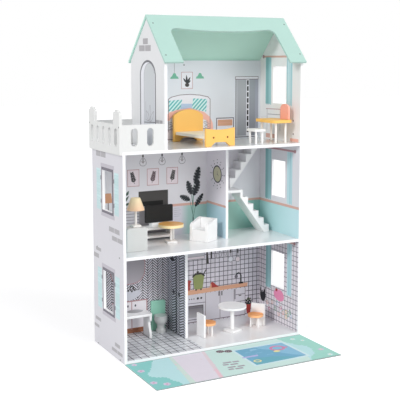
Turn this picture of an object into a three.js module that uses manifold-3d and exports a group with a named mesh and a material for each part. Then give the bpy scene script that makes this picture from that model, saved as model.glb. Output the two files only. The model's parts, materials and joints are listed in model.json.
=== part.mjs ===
// A three-storey wooden dollhouse with a balcony, a pitched roof, a staircase, loose furniture and
// a garden mat. Millimetres, X to the right, Y to the back, Z up.
import * as THREE from 'three';
import { mergeVertices } from 'three/addons/utils/BufferGeometryUtils.js';
import Module from 'manifold-3d';

const wasm = await Module();
wasm.setup();

// ---------------------------------------------------------------- driving sizes: the house

const houseWidth = 600;
const houseDepth = 240;
const boardThickness = 9;
const backThickness = 5;
const storeyHeight = 292;
const balconyWidth = 130;
const gableWallHeight = 254;
const partitionDepth = 127;
const bathWidth = 239;
const stairRoomWidth = 192; // between the living room's partition and the right wall
const seatGap = 0.3; // left between a turned piece and what it rests on

const windowWidth = 78;
const windowHeight = 118;
const windowSill = 117; // above the floor of each room

const roofPitch = THREE.MathUtils.degToRad(46);
const roofThickness = 6;
const eaveOverhang = 13;
const gableOverhang = 4;
const roofLegWidth = 59; // what stays of the front panel on each side of its cut-out
const roofCutRise = 137; // up the slope from the eave
const roofCutSag = 10; // dip of the cut-out's top edge at its middle
const roofCutRadius = 25;

const railHeight = 75; // above the balcony deck
const railPostHeight = 111;
const railPostWidth = 46;
const railPostRadius = 8;
const railKnobWidth = 20;
const railKnobHeight = 6;
const railSlotWidth = 21;
const railSlotHeight = 51;
const railSlotSill = 14;
const sideSlotCount = 5;
const sideSlotPitch = 46;
const frontSlotCount = 2;
const frontSlotPitch = 49;
const frontSlotShift = -4; // the pair of slots stands a little to the left of the rail's middle

const landingThickness = 8.5;
const landingLength = 74;
const landingDepth = 90;
const lowerFlightDepth = 56;
const lowerRiserCount = 6;
const lowerTread = 19.8;
const lowerWaist = 8.5; // under the landing, measured level
const lowerFoot = 18; // on the floor, measured level
const upperFlightDepth = 53;
const upperFlightSetback = 48; // of its first riser from the wall that carries the landing
const upperRiser = 24.9;
const upperTread = 19.7;
const upperFirstRise = 33.9; // from the landing to the first tread
const upperRiserCount = 4; // whole risers above the first tread
const upperTopRise = 14; // from the last tread to the ceiling
const upperWaist = 9.5; // measured level

const matDepth = 218.5;
const matThickness = 1.5;
const matRadius = 5;
const matGap = 0.5; // between the mat and the front of the house

// ---------------------------------------------------------------- driving sizes: the furniture

const dowel = 7;
const plateThickness = 6; // foot plates of the tables and the lamp

const bed = {
  length: 200, headWidth: 106, headHeight: 81, headArch: 19, footWidth: 101, footHeight: 54,
  footSag: 5, board: 9, baseInset: 3, baseHeight: 22, baseThickness: 9,
  footArchWidth: 65, footArchHeight: 12, turn: 3, fromGable: 182, fromBack: 8,
};
const desk = {
  width: 71, depth: 115, height: 71.5, top: 9, radius: 14, legInsetX: 18, legInsetY: 16.5,
  fromRight: 18.5, fromFront: 10, mirrorWidth: 46, mirrorHeight: 48, mirrorThickness: 6,
  mirrorInset: 5, mirrorFromFront: 12,
};
const stool = {
  width: 40, depth: 54, height: 44.5, top: 7, radius: 6, legInset: 9,
  fromRight: 103, fromFront: 31,
};
const cabinet = { width: 65, depth: 46, height: 70, radius: 9, fromLeft: 29, fromFront: 64 };
const lamp = {
  base: 26, postHeight: 52.5, shadeHeight: 36, shadeLowRadius: 26.5, shadeTopRadius: 13.5,
  shadeBoreDepth: 6, boreGap: 0.3, shiftX: 3.5, shiftY: -4,
};
const tvStand = {
  width: 120, depth: 46, height: 41, board: 7, shelfHeight: 8.5, shelfInset: 1,
  fromLeft: 118, fromBack: 9,
};
const tv = {
  width: 94, height: 53, thickness: 7, radius: 3, footWidth: 60, footDepth: 26, footHeight: 12,
  shiftX: 17,
};
const coffeeTable = {
  topRadius: 39, top: 9, height: 58, post: 7, base: 32, turn: -8.5, fromArmchair: 104.5,
  fromTvStand: 3,
};
const armchair = {
  width: 65, depth: 59, armHeight: 57, backHeight: 67, board: 10, armRadius: 16, seatHeight: 35,
  seatInset: 2, turn: -59, fromPartition: 71, fromFront: 122.5,
};
const washstand = {
  width: 100, depth: 48, height: 78, top: 8, side: 8, sideInset: 1, notchDepth: 11, notchTop: 62,
  notchBottom: 50, toeHeight: 14, fromPartition: 88, fromBack: 26,
};
const toilet = {
  footRadius: 15.5, footHeight: 9, neckRadius: 12, neckLow: 13, neckHigh: 20, bowlHeight: 43,
  rimRadius: 21, rimHeight: 49, seatHeight: 54, boardWidth: 48, boardHeight: 96,
  boardThickness: 7, boardRadius: 3, fromPartition: 38.5, fromBack: 0.5, turn: -4,
};
const kitchenTable = {
  topRadius: 45, top: 7, height: 83, post: 13, base: 44, turn: 20, shiftX: -8, fromFront: 110,
};
const chair = {
  backWidth: 47, backHeight: 72, backThickness: 6, backRadius: 2, backSetback: 21,
  seatRadius: 25, seat: 7, seatHeight: 43, legCount: 3, leg: 6, legCircle: 15.2,
};
const chairPlaces = [
  { name: 'left', fromTable: -91, fromFront: 104, turn: 91.5 },
  { name: 'right', fromTable: 86, fromFront: 110, turn: -53 },
];

// ---------------------------------------------------------------- levels and faces worked out

const groundTop = boardThickness;
const middleUnderside = groundTop + storeyHeight;
const middleTop = middleUnderside + boardThickness;
const deckUnderside = middleTop + storeyHeight;
const deckTop = deckUnderside + boardThickness;
const innerLeft = boardThickness;
const innerRight = houseWidth - boardThickness;
const innerBack = houseDepth - backThickness;
const gableInner = balconyWidth + boardThickness;
const bathPartitionX = innerLeft + bathWidth;
const livingPartitionX = innerRight - stairRoomWidth - boardThickness;
const partitionY = innerBack - partitionDepth;

const upperFlightRise = upperFirstRise + upperRiserCount * upperRiser + upperTopRise;
const landingHeight = storeyHeight - upperFlightRise; // of its top above the middle floor

const ridgeY = houseDepth / 2;
const roofSlope = Math.tan(roofPitch);
const gablePeak = deckTop + gableWallHeight + ridgeY * roofSlope;
const roofRise = roofThickness / Math.cos(roofPitch);
const ridgeTop = gablePeak + seatGap + roofRise;
const roofLeft = balconyWidth - gableOverhang;
const roofRight = houseWidth + gableOverhang;

const white = 0xeeeef2;
const wallGrey = 0xdad7e2;
const floorGrey = 0xd2d6da;
const mint = 0xbfe3da;
const yellow = 0xfac66e;
const coral = 0xf8937c;
const orange = 0xf5a452;
const cream = 0xf7dcb8;
const green = 0x6fbf9f;
const black = 0x2b2929;
const lawn = 0xa9d8d6;

// ---------------------------------------------------------------- outlines and solids

// A rectangle from its low to its high corner, with rounded corners where a radius is given.
function rectangle(lowU, lowV, highU, highV, radius = 0) {
  const shape = new THREE.Shape();
  shape.moveTo(lowU + radius, lowV);
  shape.lineTo(highU - radius, lowV);
  if (radius) shape.absarc(highU - radius, lowV + radius, radius, -Math.PI / 2, 0);
  shape.lineTo(highU, highV - radius);
  if (radius) shape.absarc(highU - radius, highV - radius, radius, 0, Math.PI / 2);
  shape.lineTo(lowU + radius, highV);
  if (radius) shape.absarc(lowU + radius, highV - radius, radius, Math.PI / 2, Math.PI);
  shape.lineTo(lowU, lowV + radius);
  if (radius) shape.absarc(lowU + radius, lowV + radius, radius, Math.PI, Math.PI * 1.5);
  return shape;
}

// A closed outline through points given as [u, v].
function polygon(points) {
  return new THREE.Shape(points.map(([u, v]) => new THREE.Vector2(u, v)));
}

// A slot with round ends, standing on lowV and centred on u.
function slot(u, lowV, width, height) {
  const radius = width / 2;
  const path = new THREE.Path();
  path.moveTo(u + radius, lowV + radius);
  path.lineTo(u + radius, lowV + height - radius);
  path.absarc(u, lowV + height - radius, radius, 0, Math.PI);
  path.lineTo(u - radius, lowV + radius);
  path.absarc(u, lowV + radius, radius, Math.PI, Math.PI * 2);
  return path;
}

// The places of count copies at one pitch, centred on middle.
function spread(count, pitch, middle) {
  return Array.from({ length: count }, (_, index) => middle + (index - (count - 1) / 2) * pitch);
}

const axisX = new THREE.Vector3(1, 0, 0);
const axisY = new THREE.Vector3(0, 1, 0);
const axisZ = new THREE.Vector3(0, 0, 1);
const boardBases = {
  x: new THREE.Matrix4().makeBasis(axisY, axisZ, axisX),
  y: new THREE.Matrix4().makeBasis(axisX, axisZ, axisY.clone().negate()),
  z: new THREE.Matrix4(),
};

// A flat board: the outline lies in the plane normal to the named axis, as (Y, Z), (X, Z) or
// (X, Y), and the board is as thick as given along that axis, starting from zero.
function board(outline, thickness, normal, curveSegments = 6) {
  const settings = { depth: thickness, bevelEnabled: false, curveSegments };
  const geometry = new THREE.ExtrudeGeometry(outline, settings);
  geometry.applyMatrix4(boardBases[normal]);
  if (normal === 'y') geometry.translate(0, thickness, 0);
  return geometry;
}

// An upright turned piece from a profile of [radius, height] points, from the axis to the axis.
function turned(profile, segments = 24) {
  const points = profile.map(([radius, height]) => new THREE.Vector2(radius, height));
  const geometry = new THREE.LatheGeometry(points, segments);
  geometry.rotateX(Math.PI / 2);
  return geometry;
}

// An upright round rod or disc standing on the given height.
function rod(radius, height, lowZ = 0, segments = 24) {
  const geometry = new THREE.CylinderGeometry(radius, radius, height, segments);
  geometry.rotateX(Math.PI / 2);
  geometry.translate(0, 0, lowZ + height / 2);
  return geometry;
}

function toSolid(geometry) {
  const bare = geometry.clone();
  bare.deleteAttribute('normal');
  bare.deleteAttribute('uv');
  const merged = mergeVertices(bare, 1e-4);
  return new wasm.Manifold(new wasm.Mesh({
    numProp: 3,
    vertProperties: new Float32Array(merged.attributes.position.array),
    triVerts: new Uint32Array(merged.index.array),
  }));
}

function toGeometry(solid) {
  const mesh = solid.getMesh();
  const geometry = new THREE.BufferGeometry();
  geometry.setAttribute('position', new THREE.BufferAttribute(mesh.vertProperties, 3));
  geometry.setIndex(new THREE.BufferAttribute(mesh.triVerts, 1));
  geometry.computeVertexNormals();
  return geometry;
}

function joined(geometries) {
  const solids = geometries.map(toSolid);
  return toGeometry(solids.reduce((whole, next) => whole.add(next)));
}

function cut(geometry, tool) {
  return toGeometry(toSolid(geometry).subtract(toSolid(tool)));
}

// A named sub-part with a painted finish of its own.
function piece(name, geometry, colour, place = [0, 0, 0], roughness = 0.55) {
  const material = new THREE.MeshStandardMaterial({ color: colour, roughness, metalness: 0 });
  const mesh = new THREE.Mesh(geometry, material);
  mesh.name = name;
  mesh.position.set(...place);
  return mesh;
}

// A loose piece of furniture: its parts about their own middle, standing turned on a floor.
function standing(parts, x, y, floor, turnDegrees = 0) {
  const group = new THREE.Group();
  group.add(...parts);
  group.position.set(x, y, floor + seatGap);
  group.rotation.z = THREE.MathUtils.degToRad(turnDegrees);
  return group;
}

// ---------------------------------------------------------------- the house

function floors() {
  const inside = rectangle(innerLeft, 0, innerRight, innerBack);
  const deck = rectangle(0, 0, houseWidth, houseDepth);
  return [
    piece('base_board', board(inside, boardThickness, 'z'), floorGrey),
    piece('middle_floor', board(inside, boardThickness, 'z'), floorGrey, [0, 0, middleUnderside]),
    piece('top_floor', board(deck, boardThickness, 'z'), floorGrey, [0, 0, deckUnderside]),
  ];
}

// A window opening in a wall drawn as (Y, Z), above the floor at the given height.
function windowHole(floor) {
  const sill = floor + windowSill;
  const left = (houseDepth - windowWidth) / 2;
  return rectangle(left, sill, left + windowWidth, sill + windowHeight);
}

function sideWall(name, x) {
  const outline = rectangle(0, 0, houseDepth, deckUnderside);
  outline.holes.push(windowHole(groundTop), windowHole(middleTop));
  return piece(name, board(outline, boardThickness, 'x'), wallGrey, [x, 0, 0]);
}

function gableWall(name, x, hasWindow) {
  const eaveZ = deckTop + gableWallHeight;
  const outline = polygon([
    [0, deckTop], [houseDepth, deckTop], [houseDepth, eaveZ], [ridgeY, gablePeak], [0, eaveZ],
  ]);
  if (hasWindow) outline.holes.push(windowHole(deckTop));
  return piece(name, board(outline, boardThickness, 'x'), wallGrey, [x, 0, 0]);
}

function walls() {
  return [
    sideWall('left_side_wall', 0),
    sideWall('right_side_wall', innerRight),
    gableWall('left_gable_wall', balconyWidth, false),
    gableWall('right_gable_wall', innerRight, true),
  ];
}

function backPanels() {
  const seamZ = middleUnderside + boardThickness / 2;
  const gableTop = deckTop + gableWallHeight - seatGap;
  const lower = rectangle(innerLeft, 0, innerRight, seamZ);
  const middle = rectangle(innerLeft, seamZ, innerRight, deckUnderside);
  const upper = rectangle(gableInner, deckTop, innerRight, gableTop);
  return [
    piece('lower_back_panel', board(lower, backThickness, 'y'), wallGrey, [0, innerBack, 0]),
    piece('middle_back_panel', board(middle, backThickness, 'y'), wallGrey, [0, innerBack, 0]),
    piece('upper_back_panel', board(upper, backThickness, 'y'), wallGrey, [0, innerBack, 0]),
  ];
}

function partition(name, x, lowZ) {
  const outline = rectangle(partitionY, lowZ, innerBack, lowZ + storeyHeight);
  return piece(name, board(outline, boardThickness, 'x'), wallGrey, [x, 0, 0]);
}

// One roof panel's section across the ridge, as (Y, Z), mitred where the two panels meet.
function roofSection() {
  const meetY = ridgeY - seatGap / 2;
  const eaveZ = ridgeTop - (ridgeY + eaveOverhang) * roofSlope;
  const inset = roofThickness * Math.sin(roofPitch);
  const drop = roofThickness * Math.cos(roofPitch);
  const meetZ = ridgeTop - (ridgeY - meetY) * roofSlope;
  return polygon([
    [-eaveOverhang, eaveZ],
    [-eaveOverhang + inset, eaveZ - drop],
    [meetY, meetZ - roofRise],
    [meetY, meetZ],
  ]);
}

// The tool that opens the front panel: its outline as (X, distance up the slope from the eave).
function roofCutTool() {
  const left = roofLeft + roofLegWidth;
  const right = roofRight - roofLegWidth;
  const past = 4 * roofThickness;
  const outline = new THREE.Shape();
  outline.moveTo(left, -past);
  outline.lineTo(left, roofCutRise - roofCutRadius);
  outline.quadraticCurveTo(left, roofCutRise, left + roofCutRadius, roofCutRise);
  const middle = (left + right) / 2;
  outline.quadraticCurveTo(middle, roofCutRise - 2 * roofCutSag, right - roofCutRadius, roofCutRise);
  outline.quadraticCurveTo(right, roofCutRise, right, roofCutRise - roofCutRadius);
  outline.lineTo(right, -past);
  const tool = board(outline, 2 * past, 'z', 10);
  tool.translate(0, 0, -past);
  tool.rotateX(roofPitch);
  tool.translate(0, -eaveOverhang, ridgeTop - (ridgeY + eaveOverhang) * roofSlope);
  return tool;
}

function roof() {
  const plain = board(roofSection(), roofRight - roofLeft, 'x');
  plain.translate(roofLeft, 0, 0);
  const back = plain.clone();
  back.rotateZ(Math.PI);
  back.translate(roofLeft + roofRight, 2 * ridgeY, 0);
  return [
    piece('front_roof_panel', cut(plain, roofCutTool()), mint),
    piece('back_roof_panel', back, mint),
  ];
}

// ---------------------------------------------------------------- the balcony

function addRailSlots(outline, count, pitch, middle, lowV) {
  for (const u of spread(count, pitch, middle)) {
    outline.holes.push(slot(u, lowV + railSlotSill, railSlotWidth, railSlotHeight));
  }
}

// The side rail as (Y, Z): a post with rounded shoulders and a knob at each end.
function sideRailOutline() {
  const railZ = deckTop + railHeight;
  const shoulderZ = deckTop + railPostHeight;
  const outline = new THREE.Shape();
  outline.moveTo(0, deckUnderside);
  outline.lineTo(houseDepth, deckUnderside);
  for (const postY of [houseDepth - railPostWidth, 0]) {
    const highY = postY + railPostWidth;
    const knobHigh = postY + (railPostWidth + railKnobWidth) / 2;
    const knobLow = postY + (railPostWidth - railKnobWidth) / 2;
    if (postY === 0) outline.lineTo(highY, railZ);
    outline.lineTo(highY, shoulderZ - railPostRadius);
    outline.quadraticCurveTo(highY, shoulderZ, highY - railPostRadius, shoulderZ);
    outline.lineTo(knobHigh, shoulderZ);
    outline.lineTo(knobHigh, shoulderZ + railKnobHeight);
    outline.lineTo(knobLow, shoulderZ + railKnobHeight);
    outline.lineTo(knobLow, shoulderZ);
    outline.lineTo(postY + railPostRadius, shoulderZ);
    outline.quadraticCurveTo(postY, shoulderZ, postY, shoulderZ - railPostRadius);
    if (postY > 0) outline.lineTo(postY, railZ);
  }
  addRailSlots(outline, sideSlotCount, sideSlotPitch, houseDepth / 2, deckTop);
  return outline;
}

function crossRail(name, y) {
  const outline = rectangle(0, deckTop, balconyWidth, deckTop + railHeight);
  const middle = balconyWidth / 2 + frontSlotShift;
  addRailSlots(outline, frontSlotCount, frontSlotPitch, middle, deckTop);
  return piece(name, board(outline, boardThickness, 'y'), white, [0, y, 0]);
}

function balcony() {
  const side = board(sideRailOutline(), boardThickness, 'x');
  return [
    piece('balcony_side_rail', side, white, [-boardThickness, 0, 0]),
    crossRail('balcony_front_rail', 0),
    crossRail('balcony_back_rail', houseDepth - boardThickness),
  ];
}

// ---------------------------------------------------------------- the stairs

const stairX = livingPartitionX + boardThickness;
const landingTop = middleTop + landingHeight;
const landingY = innerBack - landingDepth;

// The lower flight as (X, Z): a sawtooth from under the landing's free edge down to the floor.
function lowerFlight() {
  const headX = stairX + landingLength;
  const riser = landingHeight / lowerRiserCount;
  const headZ = landingTop - landingThickness;
  const points = [[headX - lowerWaist, headZ], [headX, headZ]];
  let x = headX;
  let z = landingTop - riser;
  for (let step = 1; step < lowerRiserCount; step += 1) {
    points.push([x, z], [x + lowerTread, z]);
    x += lowerTread;
    z -= riser;
  }
  points.push([x, middleTop], [x - lowerFoot, middleTop], [headX - lowerWaist, landingTop - riser]);
  const outline = polygon(points.reverse());
  return piece('stair_lower_flight', board(outline, lowerFlightDepth, 'y'), white, [0, landingY, 0]);
}

// The upper flight as (X, Z): a sawtooth from the landing up to the ceiling.
function upperFlight() {
  let x = stairX + upperFlightSetback;
  let z = landingTop + upperFirstRise;
  const points = [[x, landingTop], [x, z]];
  for (let step = 0; step < upperRiserCount; step += 1) {
    x += upperTread;
    points.push([x, z], [x, z + upperRiser]);
    z += upperRiser;
  }
  x += upperTread;
  points.push([x, z], [x, deckUnderside]);
  const pitch = upperRiser / upperTread;
  const headX = x + upperWaist + (deckUnderside - z) / pitch;
  const footX = headX - (deckUnderside - landingTop) / pitch;
  points.push([headX, deckUnderside], [footX, landingTop]);
  const outline = polygon(points.reverse());
  const y = innerBack - upperFlightDepth;
  return piece('stair_upper_flight', board(outline, upperFlightDepth, 'y'), white, [0, y, 0]);
}

function stairs() {
  const plan = rectangle(stairX, landingY, stairX + landingLength, innerBack);
  const landingZ = landingTop - landingThickness;
  return [
    piece('stair_landing', board(plan, landingThickness, 'z'), white, [0, 0, landingZ]),
    lowerFlight(),
    upperFlight(),
  ];
}

// ---------------------------------------------------------------- the bedroom's furniture

// The arch that leaves two feet at the bottom of a bed end, as the end of an outline.
function addFootArch(outline) {
  const half = bed.footArchWidth / 2;
  outline.lineTo(-half, 0);
  outline.bezierCurveTo(-half * 0.6, bed.footArchHeight, -half * 0.6, bed.footArchHeight,
    -half * 0.4, bed.footArchHeight);
  outline.lineTo(half * 0.4, bed.footArchHeight);
  outline.bezierCurveTo(half * 0.6, bed.footArchHeight, half * 0.6, bed.footArchHeight, half, 0);
}

function bedHead() {
  const half = bed.headWidth / 2;
  const outline = new THREE.Shape();
  outline.moveTo(half, 0);
  outline.lineTo(half, bed.headHeight);
  outline.bezierCurveTo(half * 0.5, bed.headHeight + bed.headArch * 1.33,
    -half * 0.5, bed.headHeight + bed.headArch * 1.33, -half, bed.headHeight);
  outline.lineTo(-half, 0);
  addFootArch(outline);
  return board(outline, bed.board, 'y', 12);
}

function bedFoot() {
  const half = bed.footWidth / 2;
  const outline = new THREE.Shape();
  outline.moveTo(half, 0);
  outline.lineTo(half, bed.footHeight);
  outline.quadraticCurveTo(0, bed.footHeight - 2 * bed.footSag, -half, bed.footHeight);
  outline.lineTo(-half, 0);
  addFootArch(outline);
  return board(outline, bed.board, 'y', 8);
}

function bedGroup() {
  const headY = bed.length / 2 - bed.board;
  const footY = -bed.length / 2;
  const half = bed.footWidth / 2 - bed.baseInset;
  const lowY = footY + bed.board + seatGap;
  const base = rectangle(-half, lowY, half, headY - seatGap, 2);
  const parts = [
    piece('bed_headboard', bedHead(), yellow, [0, headY, 0]),
    piece('bed_footboard', bedFoot(), yellow, [0, footY, 0]),
    piece('bed_base', board(base, bed.baseThickness, 'z'), cream, [0, 0, bed.baseHeight]),
  ];
  const x = gableInner + bed.fromGable;
  const y = innerBack - bed.fromBack - bed.length / 2;
  return standing(parts, x, y, deckTop, bed.turn);
}

function deskGroup() {
  const plan = rectangle(0, 0, desk.width, desk.depth, desk.radius);
  const legHeight = desk.height - desk.top - seatGap;
  const mirror = new THREE.Shape();
  const mirrorRadius = desk.mirrorWidth / 2;
  const archHeight = Math.min(mirrorRadius, desk.mirrorHeight) * 0.7;
  mirror.moveTo(0, 0);
  mirror.lineTo(desk.mirrorWidth, 0);
  mirror.lineTo(desk.mirrorWidth, desk.mirrorHeight - archHeight);
  mirror.absellipse(mirrorRadius, desk.mirrorHeight - archHeight, mirrorRadius, archHeight,
    0, Math.PI);
  const mirrorX = desk.width - desk.mirrorInset - desk.mirrorThickness;
  const parts = [
    piece('desk_top', board(plan, desk.top, 'z', 5), yellow, [0, 0, desk.height - desk.top]),
    piece('desk_mirror', board(mirror, desk.mirrorThickness, 'x', 10), coral,
      [mirrorX, desk.mirrorFromFront, desk.height + seatGap]),
  ];
  let number = 1;
  for (const x of [desk.legInsetX, desk.width - desk.legInsetX]) {
    for (const y of [desk.legInsetY, desk.depth - desk.legInsetY]) {
      parts.push(piece(`desk_leg_${number}`, rod(dowel / 2, legHeight, 0, 12), white, [x, y, 0]));
      number += 1;
    }
  }
  return standing(parts, innerRight - desk.fromRight - desk.width, desk.fromFront, deckTop);
}

function stoolGroup() {
  const plan = rectangle(0, 0, stool.width, stool.depth, stool.radius);
  const top = board(plan, stool.top, 'z', 3);
  top.translate(0, 0, stool.height - stool.top);
  const solids = [top];
  for (const x of [stool.legInset, stool.width - stool.legInset]) {
    for (const y of [stool.legInset, stool.depth - stool.legInset]) {
      const leg = rod(dowel / 2, stool.height - stool.top / 2, 0, 12);
      solids.push(leg.translate(x, y, 0));
    }
  }
  const parts = [piece('stool', joined(solids), white)];
  return standing(parts, innerRight - stool.fromRight - stool.width, stool.fromFront, deckTop);
}

// ---------------------------------------------------------------- the living room's furniture

const tvStandY = innerBack - tvStand.fromBack - tvStand.depth;
const armchairX = livingPartitionX - armchair.fromPartition;

function cabinetGroup() {
  const { width, depth, height, radius } = cabinet;
  const front = new THREE.Shape();
  front.moveTo(0, 0);
  front.lineTo(width, 0);
  front.lineTo(width, height - radius);
  front.absarc(width - radius, height - radius, radius, 0, Math.PI / 2);
  front.lineTo(radius, height);
  front.absarc(radius, height - radius, radius, Math.PI / 2, Math.PI);
  const parts = [piece('cabinet', board(front, depth, 'y'), white)];
  return standing(parts, innerLeft + cabinet.fromLeft, cabinet.fromFront, middleTop);
}

function lampGroup() {
  const half = lamp.base / 2;
  const plate = board(rectangle(-half, -half, half, half, 3), plateThickness, 'z', 3);
  const post = rod(dowel / 2, lamp.postHeight, plateThickness / 2, 16);
  const shadeLow = plateThickness / 2 + lamp.postHeight - lamp.shadeBoreDepth + lamp.boreGap;
  const boreRadius = dowel / 2 + lamp.boreGap;
  const shade = turned([
    [0, lamp.shadeBoreDepth], [boreRadius, lamp.shadeBoreDepth], [boreRadius, 0],
    [lamp.shadeLowRadius, 0], [lamp.shadeTopRadius, lamp.shadeHeight], [0, lamp.shadeHeight],
  ], 32);
  const parts = [
    piece('lamp_stand', joined([plate, post]), white),
    piece('lamp_shade', shade, cream, [0, 0, shadeLow]),
  ];
  const x = innerLeft + cabinet.fromLeft + cabinet.width / 2 + lamp.shiftX;
  const y = cabinet.fromFront + cabinet.depth / 2 + lamp.shiftY;
  return standing(parts, x, y, middleTop + seatGap + cabinet.height);
}

function tvStandGroup() {
  const { width, depth, height, board: thickness } = tvStand;
  const sideHeight = height - thickness;
  const side = rectangle(0, 0, depth, sideHeight);
  const shelf = rectangle(thickness, tvStand.shelfInset, width - thickness, depth);
  const parts = [
    piece('tv_stand_top', board(rectangle(0, 0, width, depth), thickness, 'z'), white,
      [0, 0, sideHeight]),
    piece('tv_stand_shelf', board(shelf, thickness, 'z'), white, [0, 0, tvStand.shelfHeight]),
    piece('tv_stand_left_side', board(side, thickness, 'x'), white),
    piece('tv_stand_right_side', board(side, thickness, 'x'), white, [width - thickness, 0, 0]),
  ];
  return standing(parts, innerLeft + tvStand.fromLeft, tvStandY, middleTop);
}

function tvGroup() {
  const foot = rectangle(-tv.footWidth / 2, -tv.footDepth / 2, tv.footWidth / 2,
    tv.footDepth / 2, 3);
  const screen = rectangle(-tv.width / 2, 0, tv.width / 2, tv.height, tv.radius);
  const parts = [
    piece('tv_foot', board(foot, tv.footHeight, 'z', 3), white),
    piece('tv_screen', board(screen, tv.thickness, 'y', 3), black,
      [0, -tv.thickness / 2, tv.footHeight + seatGap], 0.25),
  ];
  const x = innerLeft + tvStand.fromLeft + tvStand.width / 2 + tv.shiftX;
  const y = tvStandY + tvStand.depth / 2;
  return standing(parts, x, y, middleTop + seatGap + tvStand.height);
}

// A round table on one turned post with a square foot plate.
function postTable(name, size, colour) {
  const half = size.base / 2;
  const plate = board(rectangle(-half, -half, half, half, 2), plateThickness, 'z', 2);
  const postHeight = size.height - size.top - plateThickness - 2 * seatGap;
  return [
    piece(`${name}_base`, plate, white),
    piece(`${name}_post`, rod(size.post / 2, postHeight, plateThickness + seatGap, 16), white),
    piece(`${name}_top`, rod(size.topRadius, size.top, size.height - size.top, 40), colour),
  ];
}

function coffeeTableGroup() {
  const parts = postTable('coffee_table', coffeeTable, orange);
  const x = armchairX - coffeeTable.fromArmchair;
  const y = tvStandY - coffeeTable.fromTvStand - coffeeTable.topRadius;
  return standing(parts, x, y, middleTop, coffeeTable.turn);
}

function armchairGroup() {
  const { width, depth, board: thickness } = armchair;
  const arm = new THREE.Shape();
  arm.moveTo(0, 0);
  arm.lineTo(depth, 0);
  arm.lineTo(depth, armchair.backHeight);
  arm.lineTo(depth - thickness, armchair.backHeight);
  arm.lineTo(armchair.armRadius, armchair.armHeight);
  arm.quadraticCurveTo(0, armchair.armHeight, 0, armchair.armHeight - armchair.armRadius);
  const innerWidth = width - 2 * thickness - 2 * seatGap;
  const back = rectangle(-innerWidth / 2, 0, innerWidth / 2, armchair.backHeight);
  const seatDepth = depth - thickness - seatGap - armchair.seatInset;
  const seat = rectangle(-innerWidth / 2, 0, innerWidth / 2, armchair.seatHeight, 1);
  const frontY = -depth / 2;
  const armGeometry = board(arm, thickness, 'x');
  const parts = [
    piece('armchair_left_arm', armGeometry, white, [-width / 2, frontY, 0]),
    piece('armchair_right_arm', armGeometry.clone(), white, [width / 2 - thickness, frontY, 0]),
    piece('armchair_back', board(back, thickness, 'y'), white, [0, depth / 2 - thickness, 0]),
    piece('armchair_seat', board(seat, seatDepth, 'y', 2), white,
      [0, frontY + armchair.seatInset, 0]),
  ];
  return standing(parts, armchairX, armchair.fromFront, middleTop, armchair.turn);
}

// ---------------------------------------------------------------- the bathroom's furniture

// The side of the washstand as (Y, Z): its front edge is notched in under the top and
// runs out again to the toe.
function washstandSide() {
  const height = washstand.height - washstand.top;
  const reach = washstand.notchDepth;
  const outline = new THREE.Shape();
  outline.moveTo(0, 0);
  outline.lineTo(washstand.depth, 0);
  outline.lineTo(washstand.depth, height);
  outline.lineTo(0, height);
  outline.lineTo(0, washstand.notchTop);
  outline.quadraticCurveTo(0, washstand.notchBottom, reach, washstand.notchBottom);
  outline.bezierCurveTo(reach * 0.8, washstand.notchBottom * 0.5, reach * 0.2,
    washstand.notchBottom * 0.5, 0, washstand.toeHeight);
  return board(outline, washstand.side, 'x', 8);
}

function washstandGroup() {
  const { width, depth, height, top } = washstand;
  const plan = rectangle(0, 0, width, depth, 2);
  const side = washstandSide();
  const rightX = width - washstand.sideInset - washstand.side;
  const parts = [
    piece('washstand_top', board(plan, top, 'z', 2), white, [0, 0, height - top]),
    piece('washstand_left_side', side, white, [washstand.sideInset, 0, 0]),
    piece('washstand_right_side', side.clone(), white, [rightX, 0, 0]),
  ];
  const x = bathPartitionX - washstand.fromPartition - width;
  const y = innerBack - washstand.fromBack - depth;
  return standing(parts, x, y, groundTop);
}

// The toilet's turned bowl stands against a board that reaches from the floor to the tank's top.
function toiletGroup() {
  const bowlRise = toilet.bowlHeight - toilet.neckHigh;
  const cup = new THREE.Path();
  cup.moveTo(toilet.neckRadius, toilet.neckHigh);
  cup.bezierCurveTo(toilet.neckRadius, toilet.neckHigh + bowlRise * 0.4,
    toilet.rimRadius, toilet.neckHigh + bowlRise * 0.4, toilet.rimRadius, toilet.bowlHeight);
  const bowl = turned([
    [0, 0], [toilet.footRadius, 0], [toilet.footRadius, toilet.footHeight],
    [toilet.neckRadius, toilet.neckLow],
    ...cup.getPoints(8).map(({ x, y }) => [x, y]),
    [toilet.rimRadius, toilet.rimHeight], [toilet.rimRadius - 1, toilet.rimHeight],
    [toilet.rimRadius - 1, toilet.rimHeight + 1], [toilet.rimRadius, toilet.rimHeight + 1],
    [toilet.rimRadius, toilet.seatHeight], [0, toilet.seatHeight],
  ], 32);
  const half = toilet.boardWidth / 2;
  const back = rectangle(-half, 0, half, toilet.boardHeight, toilet.boardRadius);
  const boardY = toilet.rimRadius + seatGap;
  const parts = [
    piece('toilet_bowl', bowl, white, [0, 0, 0], 0.3),
    piece('toilet_board', board(back, toilet.boardThickness, 'y', 3), green, [0, boardY, 0]),
  ];
  const turn = Math.abs(toilet.turn) * (Math.PI / 180);
  const reach = (boardY + toilet.boardThickness) * Math.cos(turn) + half * Math.sin(turn);
  const x = bathPartitionX - toilet.fromPartition;
  return standing(parts, x, innerBack - toilet.fromBack - reach, groundTop, toilet.turn);
}

// ---------------------------------------------------------------- the kitchen's furniture

const kitchenMiddleX = (bathPartitionX + boardThickness + innerRight) / 2;
const kitchenTableX = kitchenMiddleX + kitchenTable.shiftX;

function kitchenTableGroup() {
  const parts = postTable('kitchen_table', kitchenTable, white);
  return standing(parts, kitchenTableX, kitchenTable.fromFront, groundTop, kitchenTable.turn);
}

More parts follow.
